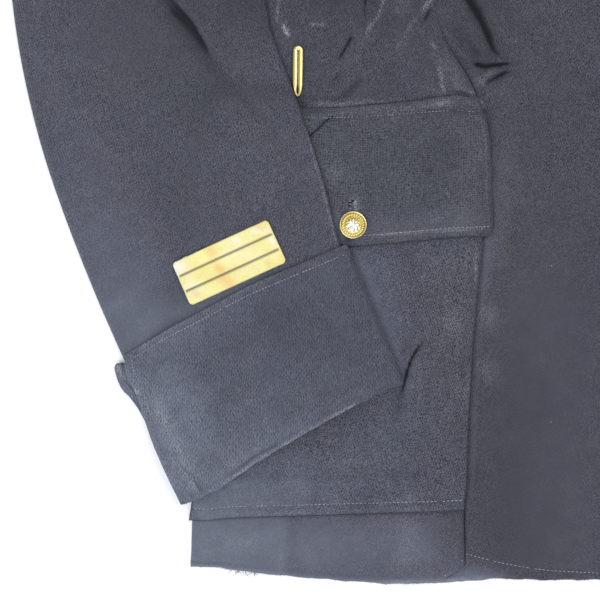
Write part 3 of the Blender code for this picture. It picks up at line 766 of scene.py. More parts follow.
def wear_and_light_group():
    """Long wear on dark cloth, with painted light and shade: its painted tone (rubbed pale with painted
    highlights, painted shade with soil, browned, and painted light that is paler and bluer), uneven patches
    that lean warm or cool, the fleck of the weave, and specks of lint. Under painted light the weave is
    smooth, and so it is on felted cloth, where that value is below 0. Smooth says how fast. The fullest
    painted shade is the black of a deep crease's shadow."""
    tree, given, end = group_of(
        "worn_cloth_painted_light",
        {"Base": (0.06, 0.06, 0.08, 1), "Fleck": 0.0, "Contrast": 1.0, "Mottle": 0.3, "Dust": 0.2,
         "Lint": 0.3, "Smooth": 1.2},
        ("Color",))
    place = millimetres(tree)
    tone = painted_tone(tree)
    rub_and_highlight, shade_and_soil, brown = tone.split("Color")
    # The fourth value is painted light, paler and bluer. Below 0 it marks felted cloth and only smooths the
    # weave.
    fade = tone.also("Alpha")
    broad = place.noise(0.02, 3.0, 0.55)
    patchy = place.noise(0.10, 3.0, 0.6)
    fine = place.noise(0.55, 3.0, 0.65)
    crisp = (1.0 - fade.math("ABSOLUTE") * given["Smooth"]).math("MAXIMUM", 0.25) * given["Contrast"]
    grain = (given["Fleck"] * crisp + 1.0).math("MAXIMUM", 0.12)
    light = (((broad - 0.5) * 1.1 + (patchy - 0.5)) * given["Mottle"] + 1.0) * grain
    greyed = node(tree, "CombineColor", Red=1.0, Green=1.0, Blue=grain.math("POWER", -0.16))
    base = mixed(tree, 1.0, scaled(tree, given["Base"], light), greyed, "MULTIPLY")
    base = mixed(tree, place.noise(0.055).band(0.36, 0.64), mixed(tree, 1.0, base, COOLER, "MULTIPLY"),
                 mixed(tree, 1.0, base, WARMER, "MULTIPLY"))
    warm = place.noise(0.035, 3.0, 0.6).band(0.42, 0.68) * given["Dust"] + brown * 0.8
    warm = warm * fine.band(0.3, 0.62)
    colour = mixed(tree, warm * 0.6, base, scaled(tree, DUST, light))
    colour = mixed(tree, fade.math("MAXIMUM", 0.0) * 0.6, colour, scaled(tree, PAINTED_LIGHT_BLUE, light))
    # Painted shade and soil darken the cloth, down to the black of a crease's painted shadow.
    colour = mixed(tree, shade_and_soil * (patchy * 0.6 + 0.55), colour, SHADE_AND_SOIL_DARK)
    colour = mixed(tree, shade_and_soil.band(0.58, 0.88), colour, CREASE_SHADOW_BLACK)
    threads = (given["Fleck"] * 1.2 + fine).band(0.36, 0.72)
    # Rubbed wear and painted highlights pale the threads.
    colour = mixed(tree, rub_and_highlight * (threads * 0.8 + 0.2), colour, RUBBED_AND_HIGHLIGHT_PALE)
    cells = node(tree, "TexVoronoi", None, "Color", Vector=place.stretched((1.0, 1.0, 0.2)), Scale=0.09)
    speck = (1.0 - cells.also("Distance").band(0.018, 0.04)) * cells.split("Color")[0].band(0.80, 0.86)
    return end(Color=mixed(tree, speck * given["Lint"], colour, LINT_WHITE))


def tarnish_and_highlight_group():
    """Handled gilt: brightness and roughness that vary, with darker hollows. The piece's tone adds pale worn
    gilt and painted highlight, and tarnish and painted shade.
    """
    tree, given, end = group_of(
        "worn_gilt_painted_highlight", {"Bright": (0.8, 0.6, 0.3, 1), "Dull": (0.2, 0.14, 0.07, 1), "Wear": 0.5},
        ("Color", "Roughness", "Height"))
    place = millimetres(tree)
    fine = place.noise(3.2, 3.0, 0.6)
    dull = (fine * 0.4 + place.noise(0.45, 4.0, 0.6)).band(0.55, 1.0)
    # The tone's first value is worn gilt and painted highlight, its second tarnish and painted shade.
    bare_and_highlight, tarnish_and_shade, _ = painted_tone(tree).split("Color")
    dull = (dull * given["Wear"]).math("MAXIMUM", tarnish_and_shade)
    colour = mixed(tree, bare_and_highlight, given["Bright"], (0.98, 0.94, 0.80, 1))
    return end(Color=mixed(tree, dull, colour, given["Dull"]), Roughness=dull * 0.3 + (fine * 0.14 + 0.16),
               Height=fine)


def material_of(name):
    made = bpy.data.materials.new(name)
    made.use_nodes = True
    tree = made.node_tree
    return made, tree, tree.nodes["Principled BSDF"]


def group_node(tree, group, **inputs):
    made = tree.nodes.new("ShaderNodeGroup")
    made.node_tree = group
    for label, value in inputs.items():
        feed(made.inputs[label], value)
    return {socket.name: Flow(socket) for socket in made.outputs}


def dress(shader, colour, rough, height, depth):
    """Wires a shader's colour, its roughness and a relief `depth` millimetres deep."""
    feed(shader.inputs["Base Color"], colour)
    feed(shader.inputs["Roughness"], rough)
    relief = node(height.tree, "Bump", Height=height, Distance=depth * MM, Strength=1.0)
    feed(shader.inputs["Normal"], relief)


def wool(name, base, grain, mottle, rib=1.3, drawn=0.6, contrast=1.5, dust=0.2, lint=0.3, depth=0.30,
         smooth=1.2, wale=0.09):
    """Dark wool twill. grain turns the weave, in degrees. depth is the weave's relief, in millimetres."""
    made, tree, shader = material_of(name)
    weave = group_node(tree, TWILL, Grain=math.radians(grain), Rib=rib, Drawn=drawn, Wale=wale)
    worn = group_node(tree, WEAR_AND_LIGHT, Base=(*base, 1), Fleck=weave["Fleck"], Contrast=contrast, Mottle=mottle,
                      Dust=dust, Lint=lint, Smooth=smooth)
    dress(shader, worn["Color"], weave["Fleck"] * 0.2 + 0.84, weave["Height"], depth)
    shader.inputs["Specular IOR Level"].default_value = 0.25
    shader.inputs["Sheen Weight"].default_value = 0.2
    shader.inputs["Sheen Roughness"].default_value = 0.5
    shader.inputs["Sheen Tint"].default_value = (0.80, 0.86, 1.0, 1)
    return made


def gilt(name, bright, dull, wear):
    made, tree, shader = material_of(name)
    worn = group_node(tree, TARNISH_AND_HIGHLIGHT, Bright=(*bright, 1), Dull=(*dull, 1), Wear=wear)
    dress(shader, worn["Color"], worn["Roughness"], worn["Height"], 0.02)
    shader.inputs["Metallic"].default_value = 1.0
    return made


def braid(name):
    """Pale rank lace: close crosswise ribs along each bar, cream with ochre stains."""
    made, tree, shader = material_of(name)
    place = millimetres(tree).turned(LACE_ANGLE)
    x, y, _ = place.split()
    rib = (x * (TURN / 0.75)).math("SINE")
    warp = (y * (TURN / 0.9)).math("SINE")
    fibre = place.noise(2.6, 3.0, 0.6)
    stain = place.stretched((1.0, 1.5, 1.0)).noise(0.085, 3.0, 0.6).band(0.40, 0.62)
    white, shade_and_soil, brown = painted_tone(tree).split("Color")
    colour = mixed(tree, stain, (0.78, 0.73, 0.31, 1), (0.78, 0.67, 0.24, 1))
    colour = mixed(tree, white, colour, (0.84, 0.81, 0.64, 1))
    colour = mixed(tree, brown, colour, (0.76, 0.53, 0.19, 1))
    colour = mixed(tree, fibre.band(0.5, 0.9), colour, (0.42, 0.34, 0.16, 1))
    colour = mixed(tree, shade_and_soil, colour, (0.105, 0.074, 0.066, 1))
    dress(shader, colour, fibre * 0.25 + 0.5, fibre * 0.6 + (rib * 0.3 + warp * 0.18), 0.14)
    shader.inputs["Specular IOR Level"].default_value = 0.35
    return made


def thread(name, colour, dirt):
    made, tree, shader = material_of(name)
    place = millimetres(tree)
    twist = place.noise(1.6, 3.0, 0.6)
    shade = mixed(tree, place.noise(0.12, 3.0, 0.6).band(0.35, 0.65), (*colour, 1), (*dirt, 1))
    dress(shader, mixed(tree, twist * 0.5, shade, (*dirt, 1)), 0.7, twist, 0.05)
    return made


TWILL, WEAR_AND_LIGHT, TARNISH_AND_HIGHLIGHT = twill_group(), wear_and_light_group(), tarnish_and_highlight_group()
# The bases differ in part as painted light: the fronts are darker, and the sleeves and cuffs, which lie
# towards the window light, are lighter.
CLOTH_BACK = wool("wool_back_inside", (0.042, 0.043, 0.055), 4, mottle=0.2, dust=0.1)
CLOTH_FRONT = wool("wool_fronts", (0.054, 0.054, 0.071), 12, drawn=0.9, contrast=1.6, mottle=0.35, dust=0.25,
                   lint=0.5, depth=0.22)
CLOTH_LAPEL = wool("wool_lapels", (0.057, 0.059, 0.076), 38, mottle=0.25)
CLOTH_COLLAR = wool("wool_collar", (0.056, 0.058, 0.075), -2, mottle=0.25)
CLOTH_STAND = wool("wool_collar_stand", (0.047, 0.048, 0.060), 10, mottle=0.2)
CLOTH_SLEEVE = wool("wool_sleeves", (0.062, 0.064, 0.083), 24, rib=1.4, drawn=0.8, contrast=1.5, mottle=0.25,
                    dust=0.12, lint=0.4, depth=0.26)
CLOTH_CUFF = wool("wool_cuffs", (0.064, 0.068, 0.090), -3, rib=1.45, drawn=0.6, contrast=1.05, mottle=0.4,
                  dust=0.05, depth=0.2, smooth=0.2, wale=0.17)
CLOTH_POCKET = wool("wool_pockets", (0.056, 0.058, 0.078), 24, drawn=0.9, contrast=1.9, mottle=0.4, dust=0.3,
                    smooth=0.7)
CLOTH_FLAP = wool("wool_flaps", (0.060, 0.063, 0.079), 44, rib=1.2, drawn=0.9, contrast=1.6, mottle=0.35,
                  dust=0.3)
CLOTH_GUSSET = wool("wool_gussets", (0.047, 0.048, 0.062), 0, mottle=0.2, dust=0.2)
GILT_BUTTON = gilt("gilt_buttons", (0.88, 0.74, 0.27), (0.30, 0.22, 0.05), 0.5)
GILT_HOOK = gilt("gilt_hooks", (0.70, 0.58, 0.27), (0.26, 0.21, 0.10), 0.45)
RANK_BRAID = braid("rank_lace_braid")
GREY_THREAD = thread("grey_seam_thread", (0.20, 0.205, 0.22), (0.08, 0.08, 0.09))
PALE_THREAD = thread("worn_pale_thread", (0.42, 0.43, 0.45), (0.19, 0.195, 0.21))
BLUE_FRAY = thread("blue_frayed_yarn", (0.22, 0.24, 0.31), (0.10, 0.11, 0.14))


# ---- Threads ----
def tube_walls(rings, sides):
    """Quads between rings of `sides` points."""
    i, k = (g.ravel() for g in np.meshgrid(np.arange(rings), np.arange(sides), indexing="ij"))
    a, b = i * sides + k, i * sides + (k + 1) % sides
    return np.stack([a, a + sides, b + sides, b], axis=1)


def closed_tube(rings, sides):
    caps = np.array([(m, m + 1, sides - 2 - m, sides - 1 - m) for m in range(sides // 2 - 1)])
    return np.vstack([tube_walls(rings - 1, sides), caps, caps[:, ::-1] + (rings - 1) * sides])


def bar_of(points, radii, sides=6):
    """A round closed bar along points. Returns its points and quads."""
    run = unit(np.gradient(points, axis=0))
    over = np.cross(run, (0, 0, 1.0))
    over /= np.maximum(np.linalg.norm(over, axis=1), 1e-6)[:, None]
    up = np.cross(over, run)
    angle = np.arange(sides) * 2 * math.pi / sides
    ring = np.cos(angle)[:, None] * over[:, None] + np.sin(angle)[:, None] * up[:, None]
    mesh_points = (points[:, None] + np.asarray(radii)[:, None, None] * ring).reshape(-1, 3)
    return mesh_points, closed_tube(len(points), sides)


def add_bars(name, bars, finish):
    """Adds threads as one piece."""
    points, quads, count = [], [], 0
    for bar_points, bar_quads in bars:
        points.append(bar_points)
        quads.append(bar_quads + count)
        count += len(bar_points)
    add_piece(name, mesh_of(name, np.vstack(points), np.vstack(quads)), finish)


def line_places(line):
    """A function from a distance along a line of points to the place there, and the line's length."""
    run = run_of(line)

    def place(at):
        return np.stack([np.interp(at, run, column) for column in line.T], axis=-1)

    return place, run[-1]


# Rows of stitches. Pitch, length of a stitch, radius of its thread, share worn away.
EDGE_SEAM = (2.9, 2.1, 0.23, 0.05)
FRONT_EDGE_SEAM = (2.9, 2.1, 0.23, 0.02)
HEM_SEAM = (2.6, 1.8, 0.24, 0.05)
FLAP_SIDE_SEAM = (2.8, 2.0, 0.2, 0.1)
FLAP_TOP_SEAM = (2.3, 1.5, 0.2, 0.12)
FLAP_LOW_SEAM = (2.8, 2.1, 0.23, 0.06)
CUFF_TOP_SEAM = (2.1, 1.45, 0.26, 0.02)
CUFF_END_SEAM = (2.1, 1.45, 0.2, 0.1)


def seam_row(line, pitch, long, radius, missing):
    """Machine stitches along a line of points on a face. A few are worn away."""
    place, total = line_places(line)
    bars = []
    share = np.array((-0.5, -0.3, 0.0, 0.3, 0.5))
    for k in range(int(total / pitch)):
        if RANDOM.random() < missing:
            continue
        middle = (k + 0.5) * pitch + RANDOM.normal(0, 0.08)
        points = place(middle + long * share * RANDOM.uniform(0.85, 1.05))
        points[:, 2] += radius * np.array((-0.6, 0.25, 0.5, 0.25, -0.6))
        bars.append(bar_of(points, radius * np.array((0.55, 0.9, 1.0, 0.9, 0.55))))
    return bars


def fray(line, count, long, spread, radius=0.11):
    """Loose yarn ends that leave a line of points on its right-hand side, lying on what is below."""
    place, total = line_places(line)
    bars = []
    for _ in range(count):
        at = RANDOM.uniform(0, total)
        start, ahead = place(at), place(min(at + 0.5, total))
        run = (ahead - start)[:2]
        run = run / max(np.linalg.norm(run), 1e-6)
        out = np.array((run[1], -run[0])) + RANDOM.normal(0, spread) * run
        reach = long * RANDOM.uniform(0.35, 1.0)
        t = np.linspace(0, 1, 6)
        sway = RANDOM.normal(0, 0.25) * reach * t * t + 0.12 * np.sin(t * RANDOM.uniform(5, 11))
        points = np.empty((6, 3))
        points[:, :2] = start[:2] + np.outer(t * reach - 0.5, out) + np.outer(sway, run)
        points[:, 2] = np.maximum(start[2] - 0.25 - t * RANDOM.uniform(0.1, 0.9), radius)
        bars.append(bar_of(points, radius * np.linspace(1, 0.55, 6), sides=4))
    return bars


# ---- The cloth panels ----
def lay(pile, name, plan, side, thick, finish, relief, reach=4, rise=0.0, marks=(),
        shade=0.0, swings=False, hole=None):
    """Lays a panel on the pile as a closed wall of cloth and works out the size of its cut. Returns its
    outer face.
    """
    flat = plan.laid(side, swings)
    low = pile.level(flat, reach)
    middle = np.dstack([flat, low + thick / 2 + rise])
    relief = np.broadcast_to(relief, low.shape)
    top = np.dstack([flat, middle[..., 2] + thick / 2 + relief])
    pile.cover(top)
    tone = tone_of(plan.grid, marks)
    # Painted shade: darker in hollows below the cloth round them, in creases and along edges.
    tone[..., SHADE_AND_SOIL] = np.clip(tone[..., SHADE_AND_SOIL] + HOLLOW_SHADE * pile.hollows(top) + shade, 0, 1)
    piece, outer = shell(name + "_cloth", middle, thick, relief, finish, (name,), tone, hole=hole)
    declare(piece, middle, plan.size)
    return outer


def back(pile):
    """The back, with its inside up."""
    plan = Plan([(-half, y, half, y) for y, half in BACK], BACK_CELL)
    edge = least(plan.first, plan.last, plan.top, plan.bottom)
    relief = rounded(edge, BODY_CLOTH, 0.9) + rumple(plan.grid, 0.12, 30, 3) * np.clip(edge / 10, 0, 1)
    lay(pile, "back", plan, 1, BODY_CLOTH, CLOTH_BACK, relief)


# Folds of a front. Height, width on the side away from the centre and towards it (walking down), how much
# of its start and of its end fades out, then its points' out and y.
FRONT_FOLDS = (
    (0.55, 1.6, 9, 0.1, 0.1, 264, -23.6, 190, -21.6, 138, -16.6, 116, -13.6, 102, -16),
    (2, 46, 46, 0.35, 0.35, 165, 90, 160, 20, 165, -40),
    (4, 28, 36, 0.3, 0.4, 120, 110, 108, 60, 94, 20, 86, -12, 78, -44),
    (-4.8, 2.8, 5, 0, 0.5, 112, 56, 109, 44, 102.7, 34, 97, 23, 92, 12, 84, 7, 70, 3),
    (2.2, 5, 7, 0.3, 0.5, 100, 54, 94, 40, 86, 26, 76, 16, 62, 12),
    (-2.6, 5.5, 5, 0.4, 0.3, 121, 36, 114, 24, 106, 13, 98, 8),
    (-0.7, 6, 6, 0.4, 0.3, 107, 13, 102.5, 7.5, 99.5, 2.5),
    (-2.2, 1.8, 1.8, 0.4, 0.4, 131, 40, 134, 34, 138, 27),
    (1.5, 5, 1.5, 0.4, 0.3, 131, 30, 124.5, 16, 117.5, 5, 112, -3, 107, -14),
    (-3, 1.5, 1.8, 0.12, 0.5, 106, 3.6, 99.5, 1.9, 92, 2.2, 84, 3.2, 66, 5),
    (1.9, 2.3, 2.2, 0.2, 0.6, 105, -9, 97, -3.2, 90, -0.8, 84.4, 0.6, 70, 1.6),
    (-2.8, 1.5, 1.7, 0.25, 0.5, 99, -9.4, 94, -6.3, 88, -3.6, 84, -1.9, 68, -0.6),
    (1.2, 4, 5, 0.3, 0.5, 98, -18, 88, -12, 72, -10),
    (-1.5, 1.2, 1.2, 0.2, 0.3, 120, -14.4, 114, -14.2, 110, -14.5, 106.5, -16.8),
    (1.5, 2, 2.2, 0.4, 0.3, 112, -16.6, 106, -20, 101, -24),
    (-3.2, 1.9, 2.8, 0.3, 0.3, 173.5, -3, 178, -8, 182.5, -12.6, 188.5, -17.4, 197, -22),
    (1.2, 2.8, 3.6, 0.4, 0.4, 179, 0, 183, -6, 189, -11, 200, -16),
    (-3, 1.2, 1.5, 0.25, 0.3, 180.5, 23, 185.5, 14, 191.5, 4), (1, 3, 3, 0.4, 0.4, 186, 26, 190, 15, 197, 3),
    (-1.8, 1, 1.2, 0.4, 0.4, 188.5, -1.8, 193.5, -6.8),
    (-0.7, 0.8, 0.8, 0.1, 0.3, 174, 92, 173.4, 44, 173.2, 10, 173, -4),
    (1, 5, 6, 0.4, 0.4, 166, 46, 158, 22, 150, 6), (-0.9, 2, 3, 0.3, 0.5, 161, 44, 165, 33, 170, 27),
    (1.2, 4, 6, 0.4, 0.4, 137, 46, 145, 24, 154, 10), (-1, 2.2, 2.6, 0.3, 0.4, 131, 44, 138, 33, 147, 20),
    (-1.2, 5, 9, 0.4, 0.5, 206, 150, 178, 116, 160, 78, 152, 52),
    (2.4, 10, 14, 0.4, 0.5, 142, 176, 130, 140, 124, 100, 126, 66),
    (-1.4, 6, 7, 0.5, 0.5, 64, 150, 78, 118, 84, 88, 76, 64),
    (2, 12, 10, 0.5, 0.5, 196, 300, 180, 262, 172, 224, 176, 190),
    (1.6, 6, 8, 0.5, 0.4, 20, 40, 44, 28, 70, 24),
    (1.6, 9, 14, 0.4, 0.5, 60, -40, 66, -100, 62, -170, 72, -240),
    (-1.2, 6, 7, 0.3, 0.5, 88, -40, 84, -100, 82, -170), (1.3, 8, 12, 0.4, 0.5, 24, -90, 30, -150, 26, -220),
)
# Marks on a front: painted shade in the creases, over the darker upper part and along the pleat's foot;
# painted light, paler and bluer, on the skirt and the hem, with felted cloth below 0; a brown tint; and
# rubbed wear with painted highlights on ridges and edges.
FRONT_MARKS = (
    (RUB_AND_HIGHLIGHT, 0.5, 0.6, 161, 46, 162.5, 41, 166, 32, 171, 26, 172.5, 20),
    (RUB_AND_HIGHLIGHT, 0.1, 2.6, 160, 46, 164, 34, 171, 24, 176, 12),
    (RUB_AND_HIGHLIGHT, 0.75, 0.8, 130.5, 46, 132, 43.5, 136, 39, 138.5, 36),
    (RUB_AND_HIGHLIGHT, 0.22, 0.6, 140, 33, 145, 27, 152.5, 14.5), (RUB_AND_HIGHLIGHT, 0.08, 2.6, 131, 46, 139, 33, 152, 14),
    (RUB_AND_HIGHLIGHT, 0.42, 0.9, 207.5, 28.2, 197, 28.2), (RUB_AND_HIGHLIGHT, 0.4, 0.8, 227.6, 45, 228.7, 29),
    (RUB_AND_HIGHLIGHT, 0.95, 1.5, 224.5, 28, 221.5, 21), (RUB_AND_HIGHLIGHT, 0.6, 0.9, 131.5, 16.4, 129.4, 13.2),
    (RUB_AND_HIGHLIGHT, 0.75, 0.7, 126.6, 1.5, 125.6, -5, 124.3, -15), (RUB_AND_HIGHLIGHT, 0.14, 4, 130, 10, 122, 0, 113, -13),
    (RUB_AND_HIGHLIGHT, 0.45, 1.6, 126.6, -18.5, 121.6, -21.5), (RUB_AND_HIGHLIGHT, 0.3, 0.8, 137, -23.6, 123, -22),
    (RUB_AND_HIGHLIGHT, 0.2, 1.8, 206, -22, 190, -22.5, 176, -21), (RUB_AND_HIGHLIGHT, 0.14, 7, 150, 44, 150, 34),
    (SHADE_AND_SOIL, 0.14, 8, 118, 30, 104, 12, 96, 2), (SHADE_AND_SOIL, 0.12, 5, 109, 44, 100, 26, 90, 12),
    (BROWN, 0.6, 22, 96, 60, 92, 0, 92, -110, 94, -190), (SHADE_AND_SOIL, 0.14, 12, 108, 36, 96, 16),
    (SHADE_AND_SOIL, 0.14, 4, 110, 50, 106, 38, 102.7, 32, 98, 23, 94, 15),
    (SHADE_AND_SOIL, 0.26, 1.3, 100, 0.9, 96, 1.4, 91, 2.2, 84, 3.2),
    (SHADE_AND_SOIL, 0.22, 1.3, 96, -7.6, 92, -5.4, 88, -3.6, 84, -1.9), (RUB_AND_HIGHLIGHT, 0.2, 1.8, 103.5, -11, 99, -7, 92, -3.4),
    (SHADE_AND_SOIL, 0.07, 16, 120, 40, 108, 14, 108, -10), (RUB_AND_HIGHLIGHT, 0.55, 1.6, 105, -18, 101, -20.5, 99.5, -23),
    (RUB_AND_HIGHLIGHT, 0.3, 1, 116, -12.5, 109, -13.5, 104, -16), (RUB_AND_HIGHLIGHT, 0.14, 1, 104, -7.6, 97, -3.4, 90, -0.8),
    (RUB_AND_HIGHLIGHT, 0.16, 1.2, 210, -22.6, 180, -21, 123, -18.8), (SHADE_AND_SOIL, 0.3, 24, 86, -170, 84, -320),
    (LIGHT_AND_FELT, 0.14, 14, 88, -40, 88, -140), (LIGHT_AND_FELT, 0.5, 7, 114, -318, 86, -318, 40, -319),
    (RUB_AND_HIGHLIGHT, 0.3, 1, 101, -40, 96, -58, 94, -80), (RUB_AND_HIGHLIGHT, 0.22, 6, 97, -150, 95, -158),
    (LIGHT_AND_FELT, 0.5, 2.8, 96, -108, 99, -136, 101.5, -160, 103, -180, 105, -215, 106.5, -255, 108, -278),
    (RUB_AND_HIGHLIGHT, 0.16, 7, 102, -182, 92, -194), (LIGHT_AND_FELT, 1, 20, 286, -262, 284, -330),
    (LIGHT_AND_FELT, 0.36, 14, 262, -288, 240, -288), (LIGHT_AND_FELT, 0.8, 26, 262, -296, 220, -298),
    (LIGHT_AND_FELT, 0.55, 22, 220, -298, 122, -302), (LIGHT_AND_FELT, 0.22, 14, 96, -70, 92, -130),
    (LIGHT_AND_FELT, -0.75, 34, 60, -120, 60, -330), (SHADE_AND_SOIL, 0.5, 14, 214, 46, 140, 50),
    (SHADE_AND_SOIL, 0.34, 12, 112, 46, 92, 50), (SHADE_AND_SOIL, 0.1, 12, 96, 12, 82, -4), (SHADE_AND_SOIL, 0.2, 12, 180, 34, 138, 30),
    (SHADE_AND_SOIL, 0.3, 9, 134, 14, 126, 0), (SHADE_AND_SOIL, 0.24, 9, 94, 44, 82, 26), (SHADE_AND_SOIL, 0.19, 9, 104, 8, 84, -2),
    (LIGHT_AND_FELT, 0.4, 16, 282, -284, 262, -316), (RUB_AND_HIGHLIGHT, 0.16, 7, 146, -284, 148, -319),
    (LIGHT_AND_FELT, 0.95, 4, 286, -314, 264, -315, 228, -319.5, 185, -324, 128, -322, 90, -320),
    (RUB_AND_HIGHLIGHT, 0.3, 1.4, 286, -313.5, 264, -314.5, 228, -319, 185, -323.5, 128, -321.5, 90, -319.5),
    (RUB_AND_HIGHLIGHT, 0.16, 4, 262, -298, 240, -297), (SHADE_AND_SOIL, 0.35, 14, 60, 300, 70, 250, 60, 200),
)
# Distance past the pleat's edge, share of its rise.
PLEAT_STEP = ((-1.2, 0), (-0.5, 0.22), (0.2, 0.82), (0.9, 1), (20, 1), (32, 0.25), (56, 0))
HEM_WORN = (241, 259)         # out, where the hem is worn through
LOW_PIECE_STITCHES = ((110.4, -304.3), (98, -307.6), (86.2, -310.4), (60, -314.6), (20, -317))


def front(pile, side):
    """A front, from shoulder to hem. Its pressed pleat stands up beside the pocket."""
    name = "front_" + WORD[side]
    plan = Plan(FRONT, FRONT_ROWS, (PLAIN_EDGE, SEWN_EDGE), (SEWN_EDGE, PLAIN_EDGE), extra=1,
                dense=FRONT_WAIST_ROWS[side], cells=FRONT_CELLS[side])
    plan.bend(FRONT_HEM, 60, plan.bottom)
    plan.waver(0.22, 3.4, 11 + side)
    past = plan.first - plan.knot
    step = np.interp(past, *np.transpose(PLEAT_STEP))
    folds, shade = fold_relief(plan.grid, FRONT_FOLDS)
    rise = not_below(step * plan.extra * PLEAT_RISE + folds)
    # A painted shadow line along the foot of the pleat's edge, faint above the waist.
    low_down = 0.22 + 0.78 * eased((14 - plan.grid[..., 1]) / 40)
    foot_shadow = hump(past, -1.0, 0.85) * eased(plan.extra) * low_down
    lip = 0.5 * hump(past, 2.6, 1.7) * plan.extra
    edge = least(plan.first, plan.last, plan.bottom)
    hem = 0.7 * hump(plan.bottom, 2.4, 1.7) - 0.1 * hump(plan.bottom, 5.6, 0.8)
    relief = rounded(edge, BODY_CLOTH, 1.3) + sewn(plan.first, welt=0.18, sunk=0.3) + hem + lip
    relief = relief + rumple(plan.grid, 0.25, 11, 21 + side) + rumple(plan.grid, 0.06, 3.2, 5)
    outer = lay(pile, name, plan, side, BODY_CLOTH, CLOTH_FRONT, relief, reach=5,
                rise=rise, marks=FRONT_MARKS, shade=shade + foot_shadow)
    column = nearest(plan.first[-1], STITCH_IN)
    bars = seam_row(outer[:, column], *FRONT_EDGE_SEAM)
    low_row = seam_row(pile.on_top(polyline(LOW_PIECE_STITCHES), side) + (0, 0, 0.1), *HEM_SEAM)
    add_bars(f"front_hem_stitches_{WORD[side]}", low_row, PALE_THREAD)
    add_bars(f"front_edge_stitches_{WORD[side]}", bars, GREY_THREAD)
    line = outer[-1] if side == LEFT else outer[-1, ::-1]
    out = line[:, 0] * side
    worn_part = line[(out > HEM_WORN[0]) & (out < HEM_WORN[1])]
    threads = fray(line, count=150, long=1.4, spread=0.7)
    threads += fray(worn_part, count=16, long=4.6, spread=0.5, radius=0.16)
    add_bars(f"hem_fray_{WORD[side]}", threads, BLUE_FRAY)


LAPEL_MARKS = ((RUB_AND_HIGHLIGHT, 0.3, 1.2, 76, 330, 66, 280),)


def lapel(pile, side):
    """A lapel, turned back along its roll line."""
    low, high = np.array(ROLL_LOW), np.array(ROLL_HIGH)
    along = unit(high - low)
    out = np.array([along[1], -along[0]])
    rows = []
    for share, width in LAPEL:
        start = low + share * (high - low)
        rows.append((*start, *(start + width * out)))
    plan = Plan(rows, NECK_CELL, (SEWN_EDGE, SEWN_EDGE), (PLAIN_EDGE, SEWN_EDGE))
    edge = least(plan.last, plan.top, plan.bottom)
    roll = 2.2 * hump(plan.first, 5, 8) - 2.4 * hump(plan.first, 0, 2.4)
    relief = rounded(edge, COLLAR_CLOTH, 1.6) + sewn(edge) + rumple(plan.grid, 0.2, 12, 31 + side)
    lay(pile, "lapel_" + WORD[side], plan, side, COLLAR_CLOTH, CLOTH_LAPEL,
        relief, reach=5, rise=np.maximum(roll, 0), marks=LAPEL_MARKS)


def neck_rows(table):
    """A table of the neck's left half, mirrored to run from one end to the other."""
    half = [(-x0, y0, -x1, y1) for x0, y0, x1, y1 in table[::-1]]
    return half + [row for row in table[1:]]


def collar_stand(pile):
    plan = Plan(neck_rows(STAND), NECK_CELL)
    edge = least(plan.first, plan.last, plan.top, plan.bottom)
    relief = rounded(edge, COLLAR_CLOTH, 1.4) + rumple(plan.grid, 0.1, 9, 4)
    lay(pile, "collar_stand", plan, 1, COLLAR_CLOTH, CLOTH_STAND, relief,
        reach=3)


def collar(pile):
    plan = Plan(neck_rows(COLLAR), NECK_CELL, (SEWN_EDGE, SEWN_EDGE), (PLAIN_EDGE, SEWN_EDGE))
    edge = least(plan.last, plan.top, plan.bottom)
    roll = 2.6 * hump(plan.first, 5, 9) - 2.2 * hump(plan.first, 0, 2.6)
    relief = rounded(edge, COLLAR_CLOTH, 1.6) + sewn(edge) + rumple(plan.grid, 0.2, 12, 8)
    outer = lay(pile, "collar", plan, 1, COLLAR_CLOTH, CLOTH_COLLAR,
                relief, reach=5, rise=np.maximum(roll, 0))
    row = nearest(plan.last[0], STITCH_IN)
    add_bars("collar_stitches", seam_row(outer[3:-3, row], *EDGE_SEAM), GREY_THREAD)


def gusset(pile, side):
    """The folded strip under a pocket's edges."""
    plan = Plan(GUSSET, GUSSET_CELL, (HIDDEN_EDGE, HIDDEN_EDGE), straight=True)
    edge = least(plan.first, plan.last)
    lay(pile, "gusset_" + WORD[side], plan, side, POCKET_CLOTH, CLOTH_GUSSET,
        rounded(edge, POCKET_CLOTH, 0.8), reach=2)


POCKET_FOLDS = (
    (1.3, 17, 15, 0.35, 0.4, 116, -150, 132, -172, 143, -190, 149, -210, 152, -234),
    (-3.4, 1.2, 1.4, 0.3, 0.45, 133.5, -167, 141.1, -176.4, 145.7, -185.7, 148.7, -196.6, 151, -208),
    (-2, 2.2, 3.2, 0.3, 0.5, 143, -180, 148.7, -196.6, 150.6, -204, 152, -216, 154, -226),
    (1.5, 10, 4, 0.4, 0.3, 110, -118, 113, -160, 116, -200, 118, -250),
    (-0.7, 8, 8, 0.5, 0.5, 150, -130, 138, -165, 130, -205),
    (1.2, 14, 14, 0.5, 0.4, 220, -262, 180, -250, 140, -252),
    (-1, 2, 2.4, 0.2, 0.5, 282, -250, 262, -262, 240, -268),
    (0.9, 16, 16, 0.5, 0.5, 220, -130, 190, -140, 160, -128),
)
